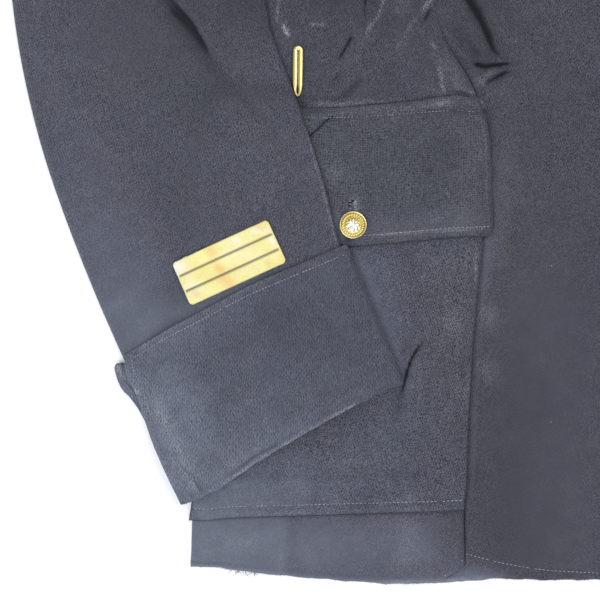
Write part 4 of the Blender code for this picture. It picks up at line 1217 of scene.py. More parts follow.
# Marks on a pocket: painted light that lifts the shade beside the cuff's edge and brightens the lower part,
# painted shade in the crease, a brown tint, and rubbed wear with painted highlights along the edges.
POCKET_MARKS = (
    (BROWN, 1, 26, 112, -115, 114, -160, 124, -200), (LIGHT_AND_FELT, 0.4, 16, 172, -116, 154, -170),
    (LIGHT_AND_FELT, 0.3, 8, 148, -266, 146, -278), (LIGHT_AND_FELT, 0.24, 14, 216, -262, 188, -264),
    (LIGHT_AND_FELT, 0.22, 22, 190, -236, 150, -246), (LIGHT_AND_FELT, 0.2, 16, 150, -180, 152, -240),
    (LIGHT_AND_FELT, 0.16, 12, 140, -116, 104, -120), (RUB_AND_HIGHLIGHT, 0.45, 0.9, 104, -110, 104.6, -128, 105, -134),
    (RUB_AND_HIGHLIGHT, 0.1, 1.6, 280, -279, 220, -278.5, 170, -277, 118, -276), (LIGHT_AND_FELT, 1, 24, 282, -274, 256, -268),
    (LIGHT_AND_FELT, 0.6, 28, 276, -266, 206, -266),
    (LIGHT_AND_FELT, 0.75, 4.4, 183, -110, 173, -134, 165, -153, 156, -175, 147, -198),
    (LIGHT_AND_FELT, 0.12, 15, 184, -122, 172, -160, 156, -204), (SHADE_AND_SOIL, 0.25, 3, 146, -165, 152, -200, 156, -226),
    (RUB_AND_HIGHLIGHT, 0.14, 6, 118, -150, 116, -166), (RUB_AND_HIGHLIGHT, 0.12, 8, 104, -196, 116, -206),
)


def pocket(pile, side):
    """A bellows pocket."""
    name = "pocket_" + WORD[side]
    plan = Plan(POCKET, POCKET_CELL[side], (PLAIN_EDGE, sewn_edge(POCKET_STITCH)), (SEWN_EDGE, SEWN_EDGE))
    plan.bend(POCKET_HEM, 40, plan.bottom)
    edge = least(plan.first, plan.last, plan.bottom)
    folds, shade = fold_relief(plan.grid, POCKET_FOLDS)
    rise = not_below(folds + 1.0 * np.clip(plan.bottom / 40, 0, 1)) * np.clip(edge / 9, 0, 1)
    relief = rounded(edge, POCKET_CLOTH, 1.5) + sewn(plan.bottom, at=POCKET_STITCH)
    relief = relief + 0.3 * hump(least(plan.first, plan.last), 2.2, 1.3)
    relief = relief + rumple(plan.grid, 0.22, 10, 41 + side) + rumple(plan.grid, 0.05, 3.0, 6)
    # Painted shade in the creases and a painted shadow line along the edges.
    outer = lay(pile, name, plan, side, POCKET_CLOTH, CLOTH_POCKET,
                relief, reach=3, rise=rise, marks=POCKET_MARKS,
                shade=shade + hump(edge, 0, 1.0))
    row = nearest(plan.bottom[:, 0], POCKET_STITCH)
    bars = seam_row(outer[row, 4:-4], *HEM_SEAM)
    add_bars(f"pocket_stitches_{WORD[side]}", bars, PALE_THREAD)


FLAP_FOLDS = (
    (1, 30, 30, 0.5, 0.5, 230, -64, 120, -70),
    (-3.2, 0.8, 1, 0.1, 0.3, 210, -44, 202, -37, 197.8, -32.8, 190, -28),
    (1.9, 5, 2.5, 0.3, 0.4, 216, -38, 206, -30, 196, -25),
    (1.5, 5, 7, 0.4, 0.4, 208, -52, 194, -40, 178, -34),
    (-1.5, 10, 8, 0.4, 0.5, 132, -40, 122, -52, 116, -68), (1, 9, 4, 0.3, 0.5, 104, -32, 103, -52, 104, -84),
    (1.2, 14, 12, 0.5, 0.5, 170, -58, 150, -66, 130, -80),
    (-0.9, 1.2, 1.2, 0.1, 0.4, 124, -29.5, 134, -30.5, 142, -32.5),
    (1, 5, 5, 0.5, 0.5, 190, -88, 176, -92, 166, -100),
    (-0.8, 3, 3, 0.5, 0.5, 112, -86, 120, -94, 126, -102),
    (0.9, 5, 6, 0.4, 0.4, 199, -58, 192, -66, 190, -76),
)
# Marks on a flap: painted shade in its creases, along its top edge, on its upper right and in the
# buttonhole's slit; painted light near its lower edge; a brown tint; worn white threads at the buttonhole;
# and rubbed wear with painted highlights along its edges.
FLAP_MARKS = (
    (SHADE_AND_SOIL, 0.16, 10, 120, -30, 104, -34),
    (RUB_AND_HIGHLIGHT, 0.2, 0.9, 205, -30, 190, -28.6, 161, -27.6, 141, -26.6, 124, -25),
    (RUB_AND_HIGHLIGHT, 0.18, 2, 200, -27, 180, -26, 150, -25, 124, -22.5), (RUB_AND_HIGHLIGHT, 0.5, 2.2, 129, -22, 120, -21.5),
    (RUB_AND_HIGHLIGHT, 0.2, 0.8, 98.4, -40, 98.4, -66, 97.6, -85, 96.2, -99),
    (RUB_AND_HIGHLIGHT, 0.42, 0.8, 170, -105, 148, -102.8, 121, -101.2, 97, -99.8),
    (BROWN, 1, 18, 104, -36, 106, -70, 108, -100), (BROWN, 0.5, 8, 172, -108, 140, -105, 104, -101),
    (RUB_AND_HIGHLIGHT, 1, 1.1, 179.3, -83.2, 178.9, -84.4), (RUB_AND_HIGHLIGHT, 1, 1, 178.8, -87, 178.3, -88.6),
    (RUB_AND_HIGHLIGHT, 0.6, 0.9, 182.8, -88.5, 182.4, -91.5), (RUB_AND_HIGHLIGHT, 0.22, 4, 180, -80, 178, -92),
    (SHADE_AND_SOIL, 0.55, 0.6, *np.ravel(SLIT)), (SHADE_AND_SOIL, 0.85, 0.8, 136, -26.4, 128, -25.6, 122, -24.2),
    (SHADE_AND_SOIL, 0.3, 9, 126, -44, 118, -58), (LIGHT_AND_FELT, 0.3, 9, 186, -100, 140, -97, 100, -92),
    (LIGHT_AND_FELT, 0.5, 8, 200, -94, 184, -107), (SHADE_AND_SOIL, 0.8, 0.8, 208, -42, 202, -37, 197.8, -32.8, 192, -29.4),
    (RUB_AND_HIGHLIGHT, 0.14, 6, 196, -62, 188, -68),
    (RUB_AND_HIGHLIGHT, 0.1, 1.3, 269, -100, 230, -107, 181, -112, 140, -109, 94, -106),
)


def flap(pile, side):
    """A pocket flap. Its buttonhole is cut through it."""
    name = "flap_" + WORD[side]
    plan = Plan(FLAP, FLAP_CELL[side], (sewn_edge(FLAP_TOP_STITCH), sewn_edge(FLAP_LOW_STITCH)),
                (sewn_edge(FLAP_SIDE_STITCH), sewn_edge(FLAP_SIDE_STITCH)))
    plan.bend(FLAP_RISE, 14, plan.top)
    plan.bend(FLAP_HEM, 40, plan.bottom)
    plan.waver(0.14, 3.0, 51 + side)
    edge = least(plan.first, plan.last, plan.top, plan.bottom)
    folds, shade = fold_relief(plan.grid, FLAP_FOLDS)
    rise = not_below(folds) * np.clip(edge / 6, 0, 1)
    from_slot = from_line(plan.grid, BUTTONHOLE)[0]
    lips = 0.4 * hump(from_slot, 2.1, 0.9)
    side_edge = least(plan.first, plan.last, plan.bottom)
    relief = rounded(side_edge, FLAP_CLOTH, 1.9) + 0.45 * rounded(plan.top, FLAP_CLOTH, 2.4) + lips
    relief = relief + np.minimum(sewn(least(plan.first, plan.last), at=FLAP_SIDE_STITCH),
                                 sewn(plan.bottom, at=FLAP_LOW_STITCH)) + sewn(plan.top, at=FLAP_TOP_STITCH)
    relief = relief + rumple(plan.grid, 0.14, 8, 61 + side) + rumple(plan.grid, 0.05, 2.6, 7)
    # Painted shadow lines along the sides and the lower edge, and less painted shade along the top edge.
    shade = shade + hump(side_edge, 0, 1.1) - 0.25 * hump(plan.top, 0, 2.4)
    outer = lay(pile, name, plan, side, FLAP_CLOTH, CLOTH_FLAP,
                relief, reach=2, rise=rise, marks=FLAP_MARKS, shade=shade, hole=from_slot < SLOT_HALF)
    row = nearest(plan.top[:, 0], FLAP_TOP_STITCH)
    low_row = nearest(plan.bottom[:, 0], FLAP_LOW_STITCH)
    column = nearest(plan.first[0], FLAP_SIDE_STITCH)
    bars = seam_row(outer[row:low_row, column], *FLAP_SIDE_SEAM)
    add_bars(f"flap_side_stitches_{WORD[side]}", bars, GREY_THREAD)
    bars = seam_row(outer[row, column:-8], *FLAP_TOP_SEAM)
    bars += seam_row(outer[low_row, column:-8], *FLAP_LOW_SEAM)
    bars += hole_stitches(pile, side)
    add_bars(f"flap_stitches_{WORD[side]}", bars, PALE_THREAD)


def hole_stitches(pile, side):
    """Short stitches set square to a buttonhole's edge, worn away here and there."""
    (out, low), high = SLIT[-1], BUTTONHOLE[0][1]
    bars = []
    for y in np.arange(low + 0.5, high, 0.95):
        for way, worn_off in ((-1, 0.15), (1, 0.7)):
            if RANDOM.random() < worn_off:
                continue
            reach = np.array((0.8, 1.3, 1.8, 2.3)) * way
            points = pile.on_top(np.column_stack([out + reach, y + RANDOM.normal(0, 0.12, 4)]), side)
            bars.append(bar_of(points + (0, 0, 0.05), np.full(4, 0.26)))
    return bars


# Folds of a sleeve. Walking down, the first width is on the side away from the body.
SLEEVE_FOLDS = (
    (-3, 5, 2.6, 0.1, 0.3, 304, 50, 294, 42, 287, 34, 281.5, 27, 277, 20, 272.5, 12, 268, 6),
    (-1.6, 9, 2, 0.1, 0.4, 296, 42, 288, 34, 282, 27, 277, 19, 268, 6, 258, -6),
    (2, 2, 8, 0.2, 0.4, 300, 50, 288, 39, 280, 31, 274, 21, 266, 10, 256, -4, 244, -18),
    (-1, 5, 2.5, 0.2, 0.4, 275, 13, 264, -1, 252, -12.6, 238.8, -28.4, 228.7, -39.7, 222, -52),
    (1.2, 12, 6, 0.3, 0.5, 320, 40, 304, 30, 292, 18, 282, 2, 270, -14),
    (1.4, 18, 16, 0.5, 0.5, 356, 30, 330, 4, 306, -22, 290, -50),
    (-1.4, 14, 14, 0.5, 0.5, 330, -10, 300, -56, 270, -90),
    (1.2, 14, 16, 0.5, 0.5, 246, -20, 232, -60, 226, -100),
    (-1.2, 8, 8, 0.5, 0.5, 284, -40, 262, -66, 236, -84),
    (1, 10, 12, 0.5, 0.5, 330, -70, 300, -104, 286, -130),
    (2.4, 14, 18, 0.5, 0.5, 250, 130, 290, 162, 330, 196),
    (-2.2, 5, 6, 0.5, 0.4, 240, 108, 268, 116, 304, 138), (2, 14, 14, 0.5, 0.5, 238, 86, 268, 92, 306, 112),
    (1.8, 16, 16, 0.5, 0.5, 240, 300, 252, 262, 280, 226),
    (-1.4, 8, 10, 0.5, 0.5, 316, 262, 320, 226, 344, 190),
)
# Marks on the top sleeve: painted shade over its upper part and in the elbow crease, painted light along its
# outer side and towards the cuff, felted cloth below 0, a brown tint, and rubbed wear with painted
# highlights along its edges.
SLEEVE_MARKS = (
    (SHADE_AND_SOIL, 0.22, 26, 330, 60, 300, 20, 270, -30),
    (SHADE_AND_SOIL, 0.16, 1.6, 297, 40, 289.4, 32.3, 281.8, 23.9, 276, 16, 271, 8, 262, -3),
    (SHADE_AND_SOIL, 0.1, 6, 300, 38, 291, 29, 284, 20, 276, 8, 266, -6), (SHADE_AND_SOIL, 0.16, 22, 300, 60, 262, 46, 240, 40),
    (LIGHT_AND_FELT, 0.34, 34, 352, -96, 318, -150), (LIGHT_AND_FELT, 0.55, 24, 336, -142, 298, -190),
    (SHADE_AND_SOIL, 0.44, 30, 262, 52, 224, 42), (LIGHT_AND_FELT, -0.35, 40, 330, 40, 340, 0),
    (LIGHT_AND_FELT, 0.2, 30, 380, 60, 364, -30, 340, -100), (BROWN, 0.3, 30, 300, 30, 270, 0),
    (RUB_AND_HIGHLIGHT, 0.1, 1.6, 398, 76, 392, 19, 381, -32, 365, -82, 344, -138, 326, -180),
    (RUB_AND_HIGHLIGHT, 0.42, 0.8, 211, -38, 201.3, -71, 195.2, -96, 192, -108),
    (LIGHT_AND_FELT, 0.36, 13, 318, -164, 290, -150, 262, -140, 230, -126),
)


def sleeve(pile, name, side, inset, cell, folds, marks=()):
    """One half of a sleeve. The one on top has folds and puffs up above the one under it."""
    table = np.array(SLEEVE, float)
    start, end = table[:, :2], table[:, 2:]
    step = inset * unit(end - start)
    plan = Plan(np.hstack([start + step, end - step]), cell)
    share = plan.first / (plan.first + plan.last)
    plan.grid[..., 0] -= ARMHOLE_BOW * 4 * share * (1 - share) * eased(1 - plan.top / ARMHOLE_DEEP)
    edge = least(plan.first, plan.last)
    rise = relief = shade = 0.0
    if folds:
        puff = 2.4 * (1 - np.exp(-edge / 11)) * np.clip((plan.top + 6) / 30, 0, 1)
        flat_end = np.clip((plan.bottom - 70) / 60, 0, 1)
        folded, shade = fold_relief(plan.grid, folds)
        # A painted shadow line along the inner edge.
        shade = shade + 0.7 * hump(plan.first, 0, 0.5)
        rise = not_below(puff + folded) * (0.25 + 0.75 * flat_end)
        rise = rise - 1.5 * quarter_round(edge, 3.2)
        relief = rumple(plan.grid, 0.3, 13, 71 + side) + rumple(plan.grid, 0.05, 3.2, 9)
        relief = relief * np.clip(edge / 5, 0, 1)
    lay(pile, name, plan, side, SLEEVE_CLOTH, CLOTH_SLEEVE, relief, reach=7 if folds else 3,
        rise=rise, marks=marks, shade=shade, swings=True)


# Marks on a cuff: painted light over most of it, brightest at its outer end and tab; painted shadow lines
# along its lower edge and painted shade over its inner part; and rubbed wear with painted highlights on its
# rolled edges and tab.
CUFF_MARKS = (
    (RUB_AND_HIGHLIGHT, 0.26, 1, 324, -180, 309, -171, 279, -154, 246, -137, 208, -119, 187, -112),
    (LIGHT_AND_FELT, 0.5, 12, 316, -180, 296, -168, 276, -160), (LIGHT_AND_FELT, 0.26, 12, 266, -152, 222, -132),
    (LIGHT_AND_FELT, 0.34, 13, 292, -206, 272, -214), (LIGHT_AND_FELT, 0.3, 14, 300, -246, 278, -262),
    (LIGHT_AND_FELT, 0.75, 9, 322, -186, 306, -230, 291, -268), (LIGHT_AND_FELT, 0.4, 9, 308, -200, 298, -226, 280, -262),
    (RUB_AND_HIGHLIGHT, 0.24, 4, 305, -206, 293, -232, 281, -256),
    (RUB_AND_HIGHLIGHT, 0.6, 0.9, 178, -209, 186, -213.2, 222, -234.2, 251, -251.8, 262, -259.5),
    (RUB_AND_HIGHLIGHT, 0.12, 1.4, 183.5, -113, 175, -133, 166.5, -152, 157.5, -174, 148, -196),
    (SHADE_AND_SOIL, 0.55, 0.9, 226, -234.6, 242, -242.6, 260, -256.8),
    (SHADE_AND_SOIL, 0.7, 0.9, 259, -262.4, 265, -265.8, 271, -268.2),
    (RUB_AND_HIGHLIGHT, 0.35, 0.9, 294, -243.5, 284, -254.5, 279.7, -261.5, 275.3, -268.4),
    (LIGHT_AND_FELT, 0.55, 8, 200, -220, 242, -244, 278, -266), (LIGHT_AND_FELT, 0.16, 60, 250, -180, 230, -220),
    (LIGHT_AND_FELT, 0.62, 16, 302, -182, 290, -215, 276, -252), (LIGHT_AND_FELT, 0.3, 18, 262, -248, 228, -218),
    (RUB_AND_HIGHLIGHT, 0.14, 1.4, 186, -113, 176, -133, 168, -152, 160, -172, 150, -195),
    (LIGHT_AND_FELT, 0.9, 7, 330, -186, 327, -194, 322, -204, 316, -212),
    (RUB_AND_HIGHLIGHT, 0.85, 1.3, 328.8, -186, 327.6, -189.6, 324.2, -194.8, 319.7, -199.8, 315, -203),
    (SHADE_AND_SOIL, 0.25, 40, 212, -136, 240, -160),
)
CUFF_FOLDS = (
    (-1.2, 1.2, 1.8, 0.2, 0.3, 291, -245, 281.5, -255.5, 277, -262.5, 272.5, -269),
    (1, 1.6, 1, 0.2, 0.2, 295, -242.5, 284.3, -254.5, 279.9, -261.5, 275.5, -268.4),
    (0.9, 4, 4, 0.4, 0.3, 300, -240, 292, -252, 286, -266),
    (0.9, 8, 9, 0.4, 0.4, 311, -196, 301, -216, 289, -240, 279, -260),
    (-0.8, 4, 5, 0.4, 0.4, 296, -196, 287, -218, 276, -240),
    (0.8, 10, 10, 0.5, 0.5, 230, -160, 216, -190, 204, -214),
    (-0.6, 8, 8, 0.5, 0.5, 280, -190, 262, -214, 250, -236),
)
CUFF_BOW = ((185, 0.0), (246, 4.6), (300, 2.6), (324, 0.0))
TAB_BOW = ((185, 0.0), (246, 4.6), (300, 2.6), (316, 0.0), (325, -3.6), (331.5, -0.4))
CUFF_FOLD = 1.8               # how far the fold at the inner edge swells out
CUFF_CORNER = 2.6             # radius of the corner that peeps out beside the cuff's slit
CUFF_UPPER, CUFF_LOWER = slice(2, 4), slice(4, 6)           # columns of CUFF with each layer's outer end
TAB_LOW, TAB_FADE = -216, 16  # below this y that corner lies flat, and how far up it takes to rise


def cuff(pile, side, low):
    """A turned-back cuff: the layer under the sleeve, the fold at its inner edge and the layer on top.
    `low` holds the lower layer's plan and its height, laid before the sleeve."""
    name = "cuff_" + WORD[side]
    low_plan, low_level = low
    plan = cuff_plan(side, CUFF_UPPER, CUFF_BOW)
    plan.waver(0.16, 4.0, 81 + side)
    flat = plan.laid(side, swings=True)
    level = pile.level(flat, 5)
    edge = least(plan.last, plan.top, plan.bottom)
    middle_part = np.clip(plan.last / 24, 0, 1) * np.clip((plan.first - 30) / 40, 0, 1)
    roll = 1.3 * hump(plan.bottom, 2.2, 1.8) * middle_part
    puff = 0.9 * (1 - np.exp(-plan.first / 8)) * np.clip(plan.last / 14, 0, 1)
    creases, shade = fold_relief(plan.grid, CUFF_FOLDS)
    rise = np.maximum(puff + roll + np.maximum(creases, -0.4), 0)
    ends_low = 1.2 * quarter_round(least(plan.last, plan.bottom), 2.2)
    top_layer = np.dstack([flat, level + CUFF_CLOTH / 2 + rise - ends_low])
    low_flat = low_plan.laid(side, swings=True)
    tab = 1.2 * np.exp(-(low_plan.last / 4.2) ** 6) + 0.5 * hump(low_plan.last, 3.5, 0.7)
    tab = tab * eased((low_plan.grid[..., 1] - TAB_LOW) / TAB_FADE)
    low_layer = np.dstack([low_flat, low_level + CUFF_CLOTH / 2 + tab])
    bend = np.radians(np.arange(-75, 90, 15))
    middle = (low_layer[:, :1] + top_layer[:, :1]) / 2
    half = (top_layer[:, :1] - low_layer[:, :1]) / 2
    outward = unit(low_flat[:, :1] - low_flat[:, 1:2])
    arc = middle + np.sin(bend)[None, :, None] * half
    arc[..., :2] += CUFF_FOLD * np.cos(bend)[None, :, None] * outward
    whole = np.concatenate([low_layer[:, ::-1], arc, top_layer], axis=1)
    before = low_layer.shape[1] + len(bend)
    top_relief = rounded(edge, CUFF_CLOTH, 1.7) + sewn(least(plan.top, plan.last))
    top_relief = top_relief + rumple(plan.grid, 0.22, 9, 91 + side) + rumple(plan.grid, 0.05, 2.8, 10)
    top_relief = top_relief * np.clip(plan.first / 3, 0, 1)
    relief = np.zeros(whole.shape[:2])
    relief[:, before:] = top_relief
    face = top_layer + (0, 0, CUFF_CLOTH / 2)
    face[..., 2] += top_relief
    pile.cover(face)
    tone = np.zeros((*whole.shape[:2], 4))
    tone[:, before:] = tone_of(plan.grid, CUFF_MARKS)
    # Painted shade in hollows and creases, and a painted shadow line along the lower edge.
    shade = shade + HOLLOW_SHADE * pile.hollows(face) + 0.85 * hump(plan.bottom, 0, 0.5)
    tone[:, before:, SHADE_AND_SOIL] = np.clip(tone[:, before:, SHADE_AND_SOIL] + shade, 0, 1)
    tone[:, :before] = tone[:, before:before + 1]
    tone[:, :low_layer.shape[1]] = tone_of(low_plan.grid, CUFF_MARKS)[:, ::-1]
    piece, outer = shell(name + "_cloth", whole, CUFF_CLOTH, relief, CLOTH_CUFF, (name,),
                         tone, up_line=before + top_layer.shape[1] // 2)
    upper = outer[:, before:]
    long = plan.size[0] + low_plan.size[0] + math.pi * CUFF_FOLD
    declare(piece, whole, (long, plan.size[1]))
    row = nearest(plan.top[:, 0], STITCH_IN)
    column = upper.shape[1] - 1 - nearest(plan.last[0, ::-1], STITCH_IN)
    bars = seam_row(upper[row, 2:column], *CUFF_TOP_SEAM)
    bars += seam_row(upper[row:-40, column], *CUFF_END_SEAM)
    add_bars(f"cuff_stitches_{WORD[side]}", bars, PALE_THREAD)


def cuff_plan(side, columns, bow):
    """One layer of a cuff, from just past the fold at its inner edge to its outer end. Both layers have
    their rows of points at the same shares of their length."""
    table = np.array(CUFF, float)
    start, end = table[:, :2], table[:, columns]
    start = start + (CUFF_FOLD + CUFF_CLOTH / 2) * unit(end - start)
    edges = (SEWN_EDGE, SEWN_EDGE), (PLAIN_EDGE, SEWN_EDGE)
    like = Plan(np.hstack([start, table[:, CUFF_UPPER]]), CUFF_CELL[side], *edges)
    plan = Plan(np.hstack([start, end]), CUFF_CELL[side], *edges, like=like)
    plan.bend(bow, 60, plan.top)
    plan.bend(CUFF_HEM, 60, plan.bottom)
    return plan


def cuff_under(pile, side):
    """The cuff's layer under the sleeve: its plan and how high it lies."""
    plan = cuff_plan(side, CUFF_LOWER, TAB_BOW)
    corner = CUFF_CORNER * quarter_round(plan.top, CUFF_CORNER)
    inward = unit(plan.grid[:, :1] - plan.grid[:, -1:])
    plan.grid = plan.grid + inward * (corner * np.clip(1 - plan.last / 20, 0, 1))[..., None]
    flat = plan.laid(side, swings=True)
    level = pile.level(flat, 4)
    pile.cover(np.dstack([flat, level + CUFF_CLOTH]))
    return plan, level


# ---- Rank lace ----
LACE_CLOTH = 1.0
LACE_EDGE = (0, 0.25, 0.5, 0.9, 1.4)
LACE_SIDE = np.array((0.2, 0.5, 0.8))
LACE_MARKS = (
    (RUB_AND_HIGHLIGHT, 1, 5.4, 294, -121.5, 286.5, -126.5), (RUB_AND_HIGHLIGHT, 0.5, 5, 284, -134, 278, -142),
    (RUB_AND_HIGHLIGHT, 0.9, 2, 244, -101.5, 234, -101.5), (RUB_AND_HIGHLIGHT, 0.8, 2.2, 233, -106, 230, -110),
    (RUB_AND_HIGHLIGHT, 0.8, 2, 255, -106, 252.5, -108.5), (RUB_AND_HIGHLIGHT, 0.3, 9, 262, -112, 240, -122),
    (BROWN, 0.85, 3, 271, -112.5, 268, -117.5), (BROWN, 0.85, 3.2, 267, -123, 262, -127),
    (BROWN, 0.9, 4, 264, -130, 256, -136), (BROWN, 0.6, 2, 242, -99, 236, -101),
    (BROWN, 0.55, 2.2, 236, -120.5, 232.5, -122.5), (BROWN, 0.5, 2.5, 281, -140, 276, -143),
)


def rank_lace(pile, side):
    """Three ribbed bars woven as one patch. Two grey lines part them and stop short of the ends."""
    wide = 3 * LACE_BAR + 2 * LACE_LINE
    v = np.linspace(0, wide, round(wide / LACE_CELL) + 1)
    v = np.unique(np.concatenate([v, LACE_SIDE, wide - LACE_SIDE]))
    fixed, grows = places(LACE_LONG, LACE_CELL, LACE_EDGE, LACE_EDGE)
    into = np.maximum(LACE_CORNER - np.minimum(v, wide - v), 0)
    inset = LACE_CORNER - np.sqrt(LACE_CORNER ** 2 - into ** 2)
    notch = 0.16 * np.sin(v * 2 * math.pi / 1.5)
    long = (LACE_LONG - 2 * inset)[:, None]
    run = fixed + grows * long
    u = run + inset[:, None] + notch[:, None] * np.abs(2 * run / long - 1) ** 8
    across = np.broadcast_to(v[:, None], u.shape)
    saw = 0.14 * np.sin(u * 2 * math.pi / 1.3) * np.exp(-np.minimum(across, wide - across) / 0.5)
    local = np.dstack([u - LACE_LONG / 2, across - wide / 2 + saw])
    plan = Plan(((0, 0, 1, 0), (0, 1, 1, 1)), 1)
    plan.grid = turned(local, LACE_ANGLE) + LACE_AT
    flat = plan.laid(side, swings=True)
    level = pile.level(flat, 2)
    middle = np.dstack([flat, level + LACE_CLOTH / 2])
    pitch = LACE_BAR + LACE_LINE
    from_parting = least(*(np.abs(across + LACE_LINE / 2 - k * pitch) for k in (1, 2)))
    ends = np.minimum(u, LACE_LONG - u)
    open_part = np.clip((ends - 0.9) / 0.6, 0, 1)
    sunk = np.exp(-(from_parting / 0.72) ** 4) * open_part
    edge = least(across, wide - across, ends - inset[:, None])
    bars = 0.22 * np.sqrt(np.clip(1 - (2 * ((across % pitch) / LACE_BAR) - 1) ** 2, 0, 1))
    relief = bars - 0.75 * sunk + rounded(edge, LACE_CLOTH, 0.9) + rumple(local, 0.05, 2.2, 12)
    tone = tone_of(plan.grid, LACE_MARKS)
    tone[..., SHADE_AND_SOIL] = 0.9 * sunk
    name = "rank_lace_" + WORD[side]
    piece, outer = shell(name + "_braid", middle, LACE_CLOTH, relief, RANK_BRAID, (name,), tone)
    pile.cover(outer)
    declare(piece, middle, (wide, LACE_LONG))


# ---- Metal ----
FACE_RINGS, RIM_RINGS, SPOKES = 20, 22, 108                 # of a button's points
BUTTON_GAP = 0.1


def disc(radius, height_of, tone_at):
    """A turned piece with a worked face: its points, quads and tone. height_of and tone_at take a share of
    the radius and an angle."""
    share = np.concatenate([np.linspace(0.012, 0.80, FACE_RINGS), np.linspace(0.81, 0.999, RIM_RINGS)])
    angle = np.arange(SPOKES) * 2 * math.pi / SPOKES
    r, a = np.meshgrid(share, angle, indexing="ij")
    face = np.stack([radius * r * np.cos(a), radius * r * np.sin(a), height_of(r, a)], axis=-1)
    brim = face[-1] * (1.002, 1.002, 0.985)
    lower = face[-1] * (0.985, 0.985, 0) + (0, 0, 0.3)
    under = lower * (0.9, 0.9, 0)
    rows = np.concatenate([face, [brim, lower, under]])
    tone = np.zeros((*rows.shape[:2], 4))
    tone[:len(face), :, RUB_AND_HIGHLIGHT], tone[:len(face), :, SHADE_AND_SOIL] = tone_at(r, a)
    return rows.reshape(-1, 3), closed_tube(len(rows), SPOKES), tone


def rosette(r, a):
    """A plain eight-petalled flower with a round boss, 0 to 1."""
    petals = 0.36 * np.abs(np.cos(4 * a)) ** 0.5 + 0.14
    flower = np.clip((petals - r) / 0.08, 0, 1) * (0.72 + 0.28 * np.abs(np.cos(4 * a)))
    boss = np.sqrt(np.clip(1 - (r / 0.15) ** 2, 0, 1))
    return np.maximum(flower, boss)


def button(pile, name, x, y, across_mm):
    """A domed gilt button on top of the pile: thin rim, a ring of beads, and a flower on a pebbled ground.
    A painted highlight pales the middle, a little below its centre, and the rim is painted pale for wear and
    highlight."""
    radius, thick = across_mm / 2, 0.22 * across_mm
    dots = np.random.default_rng(3).uniform(-0.66, 0.66, (200, 2))

    def ground(r, a):
        x, v = r * np.cos(a), r * np.sin(a)
        near = np.full(r.shape, 9.0)
        for p, q in dots:
            near = np.minimum(near, (x - p) ** 2 + (v - q) ** 2)
        return np.exp(-near / 0.0010)

    def beads(r, a):
        return hump(r, 0.755, 0.055) * np.clip(0.55 + 0.45 * np.cos(26 * a), 0, 1)

    def height_of(r, a):
        rim = np.exp(-((r - 0.945) / 0.04) ** 4)
        dome = 0.26 * np.sqrt(np.clip(1 - (r / 0.9) ** 2, 0, 1))
        inside = np.clip((0.68 - r) / 0.03, 0, 1)
        work = np.maximum(inside * np.maximum(0.24 * rosette(r, a), 0.04 * ground(r, a)), 0.14 * beads(r, a))
        return thick * (0.44 + dome + 0.26 * rim + work)

    def tone_at(r, a):
        inside = np.clip((0.9 - r) / 0.03, 0, 1)
        raised = np.maximum(np.maximum(rosette(r, a), beads(r, a)), 0.35 * ground(r, a))
        # A painted highlight over the middle, a little below the centre.
        painted_highlight = eased((0.60 - np.hypot(r * np.cos(a), r * np.sin(a) + 0.1)) / 0.26)
        # Tarnish and painted shade on the ground between the raised work, less under the highlight.
        shade_and_soil = inside * (0.95 - 0.85 * painted_highlight) * (1 - np.clip(1.3 * raised, 0, 1))
        return np.maximum(painted_highlight, 0.85 * eased((r - 0.9) / 0.05)), np.clip(shade_and_soil, 0, 1)

    points, quads, tone = disc(radius, height_of, tone_at)
    points = points + (x, y, pile.top_near(x, y, radius) + BUTTON_GAP)
    add_piece(name + "_gilt", mesh_of(name, points, quads, tone), GILT_BUTTON, (name,))


